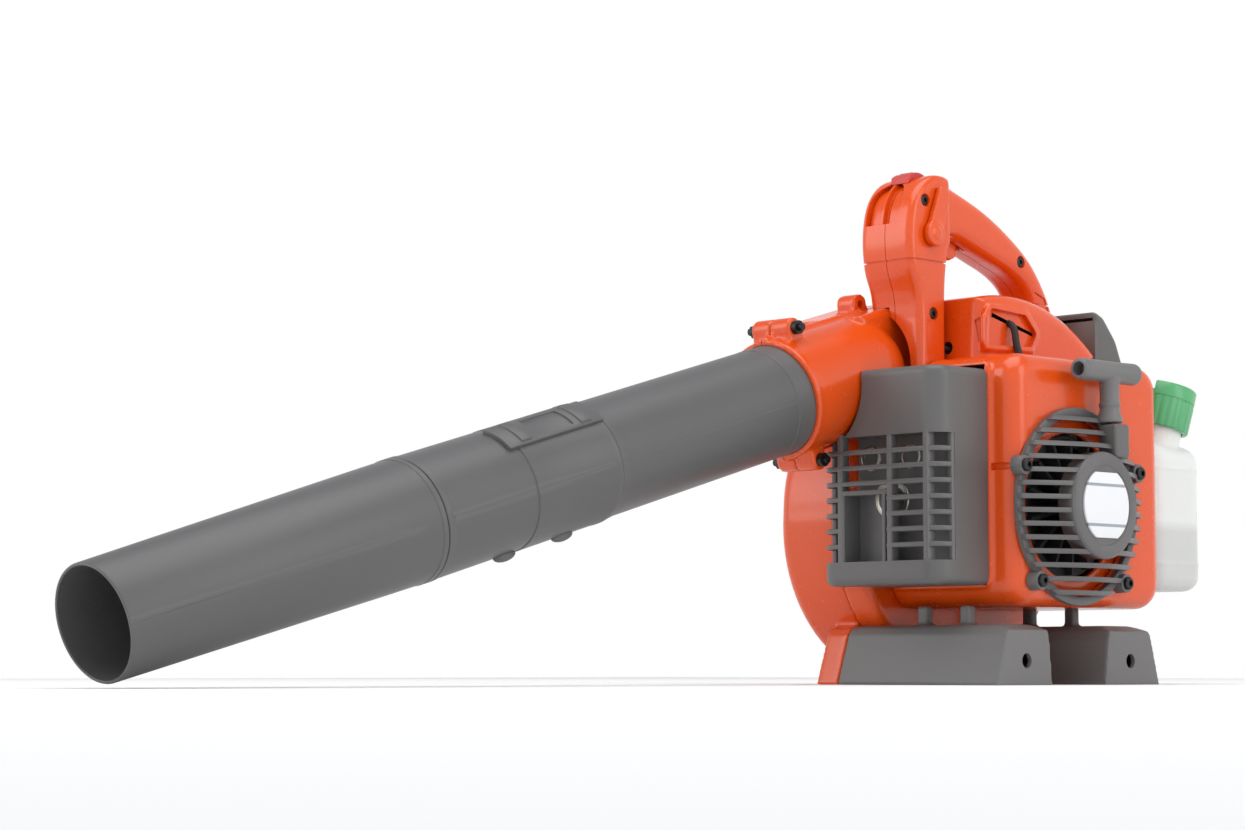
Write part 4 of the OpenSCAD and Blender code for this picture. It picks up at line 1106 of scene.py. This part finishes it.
def build_starter(done):
    """The starter housing with its dished slats, its baffle, its screws and its label."""
    x_axis = (1, 0, 0)
    pitch = (2 * STARTER_R - 8) / SLATS
    face = machine_box("starter_badge")[0][0]
    bowl = turned(CRANK, x_axis, [(73, STARTER_R), (77, STARTER_R), (78, STARTER_R - 1), (face - 4.5, 42),
                                  (face - 1, 34), (face - 5.5, 34), (face - 8, 42), (74, STARTER_R - 4),
                                  (73, STARTER_R - 4)], 112)
    dish = raw_object("starter_slats", bowl)
    slabs = [block((60, -90, CRANK.z + pitch * (i - (SLATS - 1) / 2) - 1.6),
                   (110, 90, CRANK.z + pitch * (i - (SLATS - 1) / 2) + 1.6)) for i in range(SLATS)]
    slabs.append(block((60, -90, CRANK.z + 49), (110, 90, CRANK.z + 80)))
    combined(dish, joined(slabs), "INTERSECT")
    edged(dish, 0.5)
    finished(shaded(dish, SHELL_EDGE), done["black_plastic"], "root", [])

    ring = turned(CRANK, x_axis, [(STARTER_X, STARTER_R), (73.6, STARTER_R), (74, STARTER_R - 0.4),
                                 (74, STARTER_R - 6), (STARTER_X, STARTER_R - 6)], 112)
    middle = turned(CRANK, x_axis, [(face - 13, 36), (face - 1.2, 36), (face, 34.8), (face, 27.2),
                                   (face - 0.7, 26.6), (face - 0.7, 0.01), (face - 4, 0.01), (face - 4, 33),
                                   (face - 13, 33)], 96)
    hub = drum(on_crank(80, 0, 0), on_crank(face - 3, 0, 0), 5, n=32)
    tongue = soft_box((face - 16, ROPE_Y - 8, CRANK.z + 33), (face - 0.5, ROPE_Y + 8, EYELET_Z), 2.4, "x")
    cut = drum((ROPE_X, ROPE_Y, CRANK.z), (ROPE_X, ROPE_Y, EYELET_Z + 20), 2.8, n=24)
    cut = cut + drum((ROPE_X, ROPE_Y, EYELET_Z - 1.5), (ROPE_X, ROPE_Y, EYELET_Z + 1), 2.8, 5.2, 24)
    for y, z in STARTER_BOSSES:
        ring = ring + drum(on_crank(STARTER_X, y, z), on_crank(78, y, z), 6.8, 6.3, 32)
        cut = cut + drum(on_crank(60, y, z), on_crank(79, y, z), 2.5, n=20)
    piece = united("starter_frame", ring + middle + hub + tongue)
    combined(piece, cut, "DIFFERENCE")
    edged(piece, 0.4)
    finished(shaded(piece, SHELL_EDGE), done["black_plastic"], "root", ["starter_housing"])

    baffle = turned(CRANK, x_axis, [(62, 60.6), (66, 60.6), (66.6, 59.8), (66.6, 50.6), (65.8, 49.8),
                                    (64, 49.8), (64, 58), (62, 58)], 96)
    finished(shaded(raw_object("starter_baffle", baffle), SHELL_EDGE), done["orange_plastic"], "root", [])

    heads = [socket_screw(on_crank(78, y, z), x_axis, 4.4, 3, 8) for y, z in STARTER_BOSSES]
    heads += [socket_screw((x - 1.9, y, z), x_axis, 3.6, 1.7, 14) for x, y, z in SCREW_HEADS]
    screws, *others = heads
    for other in others:
        combined(screws, other, "UNION")
    screws.name = "shell_screws"
    finished(shaded(screws), done["black_steel"], "root", ["housing_screws"])

    a = [math.radians(61.6 * (2 * k / 16 - 1)) for k in range(17)]
    label = [(CRANK.y + 25 * math.cos(t), CRANK.z + 25 * math.sin(t)) for t in a]
    label += [(CRANK.y - 25 * math.cos(t), CRANK.z - 25 * math.sin(t)) for t in a]
    badge = pillow("x", rounded(label, 0.5, 1), face - 0.7, face + 0.8, 0, 0.4, 3)
    piece = shaded(raw_object("label_plate", badge), 50)
    finished(piece, done["label"], "root", ["starter_badge"])


def build_grip(done):
    """The starter's T-shaped grip, hollow along its bar."""
    bar = spun((ROPE_X, ROPE_Y + 30, GRIP_Z), (0, -1, 0),
               [(0, 5.4), (1, 6.8), (3, 7.6), (22, 7.3), (38, 7.3), (61, 7.6), (64, 7.2), (65, 6.4)], 48)
    stem = spun((ROPE_X, ROPE_Y, EYELET_Z + 1), (0, 0, 1),
                [(0, 8.4), (0.8, 9), (2.4, 8.8), (9, 6.8), (20, 6.6), (31, 7.2)], 48)
    collar = spun((ROPE_X, ROPE_Y, EYELET_Z + 12), (0, 0, 1),
                  [(0, 6.6), (0.8, 7.6), (2.2, 7.6), (3, 6.6)], 48)
    cut = drum((ROPE_X, ROPE_Y - 25, GRIP_Z), (ROPE_X, ROPE_Y - 40, GRIP_Z), 4.6, 5)
    cut = cut + drum((ROPE_X, ROPE_Y, EYELET_Z), (ROPE_X, ROPE_Y, 198), 1.7)
    finished(moulded("pull_grip", bar + stem + collar, cut, 0.7, 5), done["grey_plastic"], "starter_grip",
             ["starter_grip"])


# ---------- controls ----------

def build_controls(done):
    """The trigger, the throttle lock and the stop switch."""
    y, z = machine_box("trigger")[0][1:]
    points = [(y + 17, z + 32), (y + 17, z + 9), (y + 16, z + 2.5), (y + 10, z), (y + 4, z + 0.8),
              (y + 0.2, z + 5), (y, z + 14), (y + 0.6, z + 21), (y + 6, z + 32), (y + 8, z + 37.5),
              (y + 15, z + 37.5)]
    blade = pillow("x", rounded(points, 2.2, 3), -37, -29, 2)
    finished(shaded(raw_object("trigger_blade", blade), 45), done["orange_plastic"], "trigger", ["trigger"])

    y, z = LOCK_PIVOT
    lobe = pillow("x", [(y + 9 * math.cos(TAU * k / 40), z + 9 * math.sin(TAU * k / 40)) for k in range(40)],
                  -9.5, -4.3, 1.4)
    arm = rounded([(y - 6, z + 5), (y + 6, z + 34), (y + 14, z + 32), (y + 15, z + 25), (y + 6, z - 5)], 2.5)
    lever = lobe + pillow("x", arm, -9.5, -5, 1) + drum((-13, y, z), (-9, y, z), 2.9)
    lever = lever + spun((-4.6, y, z), (1, 0, 0), [(0, 5), (0.8, 4.6), (1.2, 4)], 32)
    finished(moulded("lock_lever", lever, None, 0.6, 3), done["orange_plastic"], "lock_lever",
             ["throttle_lock_lever"])

    low, high = machine_box("stop_switch")
    top = [(low[1] + 0.2, low[2])]
    top += [(-55 + 16.2 * math.cos(math.radians(a)), 338 + 16.2 * math.sin(math.radians(a)))
            for a in range(129, 50, -6)]
    top.append((high[1] - 0.2, low[2]))
    rocker = pillow("x", top, low[0], high[0], 1.2)
    ribs = [drum((low[0] + 3, y, 354), (high[0] - 3, y, 354), 0.38, n=12) for y in (-58, -55, -52)]
    piece = shaded(raw_object("stop_rocker", rocker + joined(ribs)), 45)
    finished(piece, done["red_plastic"], "stop_switch", ["stop_switch"])


# ---------- intake and fuel ----------

def build_filter(done):
    """The filter cover with its border groove."""
    corners = [(99.3, 176), (138, 176), (146, 182), (146, 196), (137, 222), (125, 248), (110, 264),
               (99.3, 268)]
    outline = rounded(corners, [1, 5, 6, 14, 24, 24, 10, 2])
    add = pillow("x", outline, -36, 12, 4)
    cut = prism("x", [(max(y, 90) if y > 103 else 90, z) for y, z in shrunk(outline, 3)], -33, 9)
    groove = raw_object("groove", prism("x", shrunk(outline, 5), 10.8, 14))
    combined(groove, prism("x", shrunk(outline, 6.6), 9, 15), "DIFFERENCE")
    piece = moulded("filter_lid", add, cut, 1.0, 3)
    combined(piece, groove, "DIFFERENCE")
    finished(shaded(piece, SHELL_EDGE), done["black_plastic"], "filter_cover", ["filter_cover"])


def neck_point(x, y, t):
    """A point about the filler neck's leaning axis."""
    lean = Matrix.Rotation(math.radians(6.5), 3, "Y") @ Matrix.Rotation(math.radians(-13), 3, "X")
    return Vector((38, 138, 186)) + lean @ Vector((x, y, t))


def neck_turned(profile, n=64, closed=True):
    """A profile of (height, radius) turned about the neck's axis."""
    rings = [[neck_point(max(r, 0.01) * math.cos(TAU * k / n), max(r, 0.01) * math.sin(TAU * k / n), t)
              for k in range(n)] for t, r in profile]
    return lofted(rings, closed)


def build_tank(done):
    """The milky fuel tank with its neck and its moulded waist lines."""
    outline = rounded(rect((0, 101), (58, 166)), 16, 8)
    add = pillow("z", outline, 66, 170, 11, 13, 8)
    add = add + neck_turned([(-20, 14.5), (-20, 17), (6.5, 17), (7, 18), (9, 18), (10, 17), (10, 14.5)])
    for z in (84, 152):
        add = add + pillow("z", shrunk(outline, -0.7), z, z + 2.4, 1)
    cut = pillow("z", shrunk(outline, 2.2), 68.2, 167.8, 9, 11, 6)
    cut = cut + neck_turned([(-22, 0.01), (-22, 14.5), (18, 14.5), (18, 0.01)])
    finished(moulded("tank_shell", add, cut, 1.1, 4), done["tank_plastic"], "root", ["fuel_tank"])


def build_cap(done):
    """The fuel cap: a fluted wall, a slotted ring and a bar to turn it by."""
    flutes = 24
    rings = []
    for t, r in ((-4, 20.6), (-3.2, 21.4), (15, 21.8), (18, 21.4), (19, 20.6)):
        ring = []
        for k in range(flutes * 6):
            a = TAU * k / (flutes * 6)
            dip = 0.55 * max(0.0, math.cos(a * flutes)) if t < 18 else 0
            ring.append(neck_point((r - dip) * math.cos(a), (r - dip) * math.sin(a), t))
        rings.append(ring)
    piece = raw_object("cap_body", lofted(rings))
    combined(piece, neck_turned([(-5, 0.01), (-5, 18), (12.2, 18), (12.2, 0.01)]), "DIFFERENCE")
    ring = raw_object("cap_ring", neck_turned([(18, 19), (18, 21.8), (26.6, 21.8), (27.6, 21), (28, 20.4),
                                               (27.6, 19.4), (26.6, 19)]))
    slot = lofted([[neck_point(x, y, t) for x, y in rect((-5, -30), (5, 30))] for t in (17, 40)])
    combined(ring, slot, "DIFFERENCE")
    bar = []
    for t, grow in ((18, 0.3), (25.6, 0), (26.7, -0.7)):
        corners = rounded(rect((-19.4 - grow, -2.5 - grow), (19.4 + grow, 2.5 + grow)), 1.2, 3)
        bar.append([neck_point(x, y, t) for x, y in corners])
    combined(ring, lofted(bar), "UNION")
    combined(piece, ring, "UNION")
    edged(piece, 0.4, 50)
    finished(shaded(piece, SHELL_EDGE), done["green_plastic"], "fuel_cap", ["fuel_cap"])


# ---------- feet ----------

def build_feet(done):
    """The two channel feet with their end caps, holes and struts."""
    for front, node, mid_y in ((True, "front_foot", -72), (False, "rear_foot", 44)):
        x0 = VOLUTE_X[1] if front else VOLUTE_X[2]
        outside, hollow = foot_shell(front, x0, 77, 3)
        cut = hollow + prism("x", volute_outline(-0.2), VOLUTE_X[1] - 1, VOLUTE_X[2])
        slope = [(40, FOOT_H + 8), (90, FOOT_H + 8 - 16.2), (90, FOOT_H + 40), (40, FOOT_H + 40)]
        cut = cut + prism("y", slope, -300, 300)
        cut = cut + drum((60, mid_y, 16), (90, mid_y, 16), 5)
        for x in (-12, 24):
            outside = outside + block((x, mid_y - 4, FOOT_H - 2), (x + 8, mid_y + 4, SHROUD_Z[0] + 1))
        piece = moulded("foot_front" if front else "foot_rear", outside, cut, 1.3, 5)
        finished(piece, done["foot"], "root", [node])


# ---------- camera, light and floor ----------

SENSOR = 36.0
FLOOR_HALF = 1.6
SKY_WHITE_UP_TO = 0.3
SKY_DARK_FROM = 0.75
SKY_TOP = (0.32, 0.33, 0.35)
LAMPS = [("Overhead", Vector((0.3, -0.2, 2.4)), (2.4, 2.4), 42.0),
         ("Left side", Vector((-1.6, -2.0, 1.3)), (1.2, 1.8), 16.0),
         ("Right side", Vector((2.4, 0.6, 1.2)), (1.2, 1.8), 14.0)]


def build_stage(sizes):
    """The camera, a pale floor and soft light from above and both sides."""
    scene = bpy.context.scene
    lens = bpy.data.cameras.new("Camera")
    lens.sensor_width = SENSOR
    lens.lens = sizes.lens
    lens.clip_start = 0.05
    lens.clip_end = 50
    camera = bpy.data.objects.new("Camera", lens)
    azimuth = sizes.azimuth
    forward = Vector((-math.sin(azimuth), math.cos(azimuth), 0))
    right = Vector((forward.y, -forward.x, 0))
    camera.location = at((0, 0, 0)) - forward * sizes.distance - right * sizes.aside
    camera.location.z = sizes.height
    camera.rotation_euler = (TAU / 4 + sizes.pitch, 0, azimuth)
    scene.collection.objects.link(camera)
    scene.camera = camera

    floor = Finish("Pale paper", 0.9)
    floor.colour(floor.mix(floor.noise(3.0), (0.9, 0.9, 0.9, 1), (0.93, 0.93, 0.93, 1)))
    mesh = bpy.data.meshes.new("floor")
    corners = rect((-FLOOR_HALF, -FLOOR_HALF), (FLOOR_HALF, FLOOR_HALF))
    mesh.from_pydata([(x, y, 0) for x, y in corners], [], [(0, 1, 2, 3)])
    mesh.materials.append(floor.material)
    obj = bpy.data.objects.new("floor", mesh)
    scene.collection.objects.link(obj)

    world = bpy.data.worlds.new("Studio")
    world.use_nodes = True
    nodes, links = world.node_tree.nodes, world.node_tree.links
    background = next(n for n in nodes if n.type == "BACKGROUND")
    direction = nodes.new("ShaderNodeTexCoord")
    split = nodes.new("ShaderNodeSeparateXYZ")
    sky = nodes.new("ShaderNodeValToRGB")
    sky.color_ramp.elements[0].position = SKY_WHITE_UP_TO
    sky.color_ramp.elements[0].color = (1, 1, 1, 1)
    sky.color_ramp.elements[1].position = SKY_DARK_FROM
    sky.color_ramp.elements[1].color = (*SKY_TOP, 1)
    links.new(direction.outputs["Generated"], split.inputs[0])
    links.new(split.outputs["Z"], sky.inputs[0])
    links.new(sky.outputs[0], background.inputs["Color"])
    background.inputs["Strength"].default_value = sizes.ambient
    scene.world = world
    scene.view_settings.view_transform = "Standard"
    for name, place_at, size, power in LAMPS:
        light = bpy.data.lights.new(name, "AREA")
        light.shape = "RECTANGLE"
        light.size, light.size_y = size
        light.energy = power
        lamp = bpy.data.objects.new(name, light)
        lamp.location = place_at
        lamp.rotation_euler = (Vector((0, 0, 0.15)) - lamp.location).to_track_quat("-Z", "Y").to_euler()
        scene.collection.objects.link(lamp)


STAYING = {"flywheel": "rubber", "crankcase_left": "cast_aluminium", "inlet_grille": "black_plastic",
           "outlet_clamp_screw": "black_steel", "impeller": "black_plastic", "impeller_nut": "steel",
           "filter_base": "black_plastic", "plug_boot": "rubber",
           "starter_pulley": "rubber", "rope_winding": "rope", "cap_liner": "rubber"}


def finish_frame(done):
    """Gives each frame node that stays in sight the finish of its own material slot."""
    slots = {part["node"]: part["material_slot"] for part in frame["record"]["subparts"]}
    for name, obj in frame["nodes"].items():
        finish = done.get(STAYING.get(name, slots.get(name, "steel")), done["steel"])
        for place_on in obj.material_slots:
            place_on.material = finish


# ---------- what a user can change ----------

def paint(name, description, default):
    """A colour that can be changed."""
    return bpy.props.FloatVectorProperty(name=name, description=description, subtype="COLOR", size=3,
                                         min=0, max=1, default=default)


class LeafBlowerLook(bpy.types.PropertyGroup):
    """Colours of the machine's plastics."""

    shell: paint("Shell", "Colour of the shells", (0.71, 0.072, 0.002))
    tube: paint("Tube", "Colour of the tubes", (0.098, 0.098, 0.099))
    cover: paint("Covers", "Colour of the guard and covers", (0.112, 0.108, 0.107))
    grey: paint("Grip and feet", "Colour of the grip and feet", (0.15, 0.146, 0.144))
    cap: paint("Fuel cap", "Colour of the fuel cap", (0.07, 0.33, 0.13))
    tank: paint("Tank", "Colour of the tank", (0.86, 0.87, 0.83))


class LeafBlowerStage(bpy.types.PropertyGroup):
    """The camera's place and the light."""

    azimuth: bpy.props.FloatProperty(name="Azimuth", description="Direction the camera looks from",
                                     subtype="ANGLE", default=math.radians(45))
    pitch: bpy.props.FloatProperty(name="Pitch", description="Upward tilt of the camera", subtype="ANGLE",
                                   default=math.radians(4.91))
    distance: bpy.props.FloatProperty(name="Distance", description="From the camera to the crankshaft's foot",
                                      unit="LENGTH", default=2.06, min=0.5, max=10)
    aside: bpy.props.FloatProperty(name="Aside", description="How far the camera stands to the left",
                                   unit="LENGTH", default=0.262)
    height: bpy.props.FloatProperty(name="Height", description="Height of the camera", unit="LENGTH",
                                    default=0.01, min=0.002, max=3)
    lens: bpy.props.FloatProperty(name="Lens", description="Focal length", unit="CAMERA", default=85.8)
    ambient: bpy.props.FloatProperty(name="Ambient", description="Strength of the surrounding light",
                                     default=1.0, min=0, max=5)


class LeafBlowerBuilder:
    """What every piece's operator shares: it builds its pieces with the machine's finishes."""

    build = None

    def execute(self, context):
        type(self).build(FINISHES)
        return {"FINISHED"}


class LEAFBLOWER_OT_stage(bpy.types.Operator):
    """Sets the camera, the floor and the light"""

    bl_idname = "leafblower.stage"
    bl_label = "Stage"

    def execute(self, context):
        build_stage(context.scene.leafblower_stage)
        return {"FINISHED"}


class LEAFBLOWER_OT_finishes(bpy.types.Operator):
    """Mixes the finishes and puts them on the mechanical parts that stay in sight"""

    bl_idname = "leafblower.finishes"
    bl_label = "Finishes"

    def execute(self, context):
        FINISHES.update(make_finishes(context.scene.leafblower_look))
        finish_frame(FINISHES)
        return {"FINISHED"}


class LEAFBLOWER_OT_tube(LeafBlowerBuilder, bpy.types.Operator):
    """Builds the three lengths of blower tube"""

    bl_idname = "leafblower.tube"
    bl_label = "Blower tube"
    build = build_tube


class LEAFBLOWER_OT_volute(LeafBlowerBuilder, bpy.types.Operator):
    """Builds both halves of the volute"""

    bl_idname = "leafblower.volute"
    bl_label = "Volute"
    build = build_volute


class LEAFBLOWER_OT_handle(LeafBlowerBuilder, bpy.types.Operator):
    """Builds both halves of the handle"""

    bl_idname = "leafblower.handle"
    bl_label = "Handle"
    build = build_handle


class LEAFBLOWER_OT_shroud(LeafBlowerBuilder, bpy.types.Operator):
    """Builds the engine shroud with its dome"""

    bl_idname = "leafblower.shroud"
    bl_label = "Shroud"
    build = build_shroud


class LEAFBLOWER_OT_muffler(LeafBlowerBuilder, bpy.types.Operator):
    """Builds the muffler and its bolts"""

    bl_idname = "leafblower.muffler"
    bl_label = "Muffler"
    build = build_muffler


class LEAFBLOWER_OT_guard(LeafBlowerBuilder, bpy.types.Operator):
    """Builds the muffler guard and its slats"""

    bl_idname = "leafblower.guard"
    bl_label = "Muffler guard"
    build = build_guard


class LEAFBLOWER_OT_starter(LeafBlowerBuilder, bpy.types.Operator):
    """Builds the starter housing, its screws and its label"""

    bl_idname = "leafblower.starter"
    bl_label = "Starter"
    build = build_starter


class LEAFBLOWER_OT_grip(LeafBlowerBuilder, bpy.types.Operator):
    """Builds the starter's pull grip"""

    bl_idname = "leafblower.grip"
    bl_label = "Pull grip"
    build = build_grip


class LEAFBLOWER_OT_controls(LeafBlowerBuilder, bpy.types.Operator):
    """Builds the trigger, the throttle lock and the stop switch"""

    bl_idname = "leafblower.controls"
    bl_label = "Controls"
    build = build_controls


class LEAFBLOWER_OT_filter(LeafBlowerBuilder, bpy.types.Operator):
    """Builds the air filter's cover"""

    bl_idname = "leafblower.filter"
    bl_label = "Air filter"
    build = build_filter


class LEAFBLOWER_OT_tank(LeafBlowerBuilder, bpy.types.Operator):
    """Builds the fuel tank"""

    bl_idname = "leafblower.tank"
    bl_label = "Fuel tank"
    build = build_tank


class LEAFBLOWER_OT_cap(LeafBlowerBuilder, bpy.types.Operator):
    """Builds the fuel cap"""

    bl_idname = "leafblower.cap"
    bl_label = "Fuel cap"
    build = build_cap


class LEAFBLOWER_OT_feet(LeafBlowerBuilder, bpy.types.Operator):
    """Builds the front and rear feet"""

    bl_idname = "leafblower.feet"
    bl_label = "Feet"
    build = build_feet


FINISHES = {}
OPERATORS = [LEAFBLOWER_OT_stage, LEAFBLOWER_OT_finishes, LEAFBLOWER_OT_tube, LEAFBLOWER_OT_volute,
             LEAFBLOWER_OT_handle, LEAFBLOWER_OT_shroud, LEAFBLOWER_OT_muffler, LEAFBLOWER_OT_guard,
             LEAFBLOWER_OT_starter, LEAFBLOWER_OT_grip, LEAFBLOWER_OT_controls, LEAFBLOWER_OT_filter,
             LEAFBLOWER_OT_tank, LEAFBLOWER_OT_cap, LEAFBLOWER_OT_feet]


class LEAFBLOWER_PT_panel(bpy.types.Panel):
    """Lists the machine's colours, its stage and its builders"""

    bl_idname = "LEAFBLOWER_PT_panel"
    bl_label = "Leaf blower"
    bl_space_type = "VIEW_3D"
    bl_region_type = "UI"
    bl_category = "Leaf blower"

    def draw(self, context):
        for group in (context.scene.leafblower_look, context.scene.leafblower_stage):
            for key in group.bl_rna.properties.keys():
                if key not in ("rna_type", "name"):
                    self.layout.prop(group, key)
        for operator in OPERATORS:
            self.layout.operator(operator.bl_idname)


REGISTERED = [LeafBlowerLook, LeafBlowerStage, *OPERATORS, LEAFBLOWER_PT_panel]


def register():
    """Registers the groups, the operators and the panel."""
    for entry in REGISTERED:
        bpy.utils.register_class(entry)
    bpy.types.Scene.leafblower_look = bpy.props.PointerProperty(type=LeafBlowerLook)
    bpy.types.Scene.leafblower_stage = bpy.props.PointerProperty(type=LeafBlowerStage)


def unregister():
    """Takes them away again."""
    del bpy.types.Scene.leafblower_stage
    del bpy.types.Scene.leafblower_look
    for entry in reversed(REGISTERED):
        bpy.utils.unregister_class(entry)


def main():
    """Registers the add-on and builds the whole machine."""
    register()
    for operator in OPERATORS:
        group, name = operator.bl_idname.split(".")
        getattr(getattr(bpy.ops, group), name)()


if __name__ == "__main__":
    main()
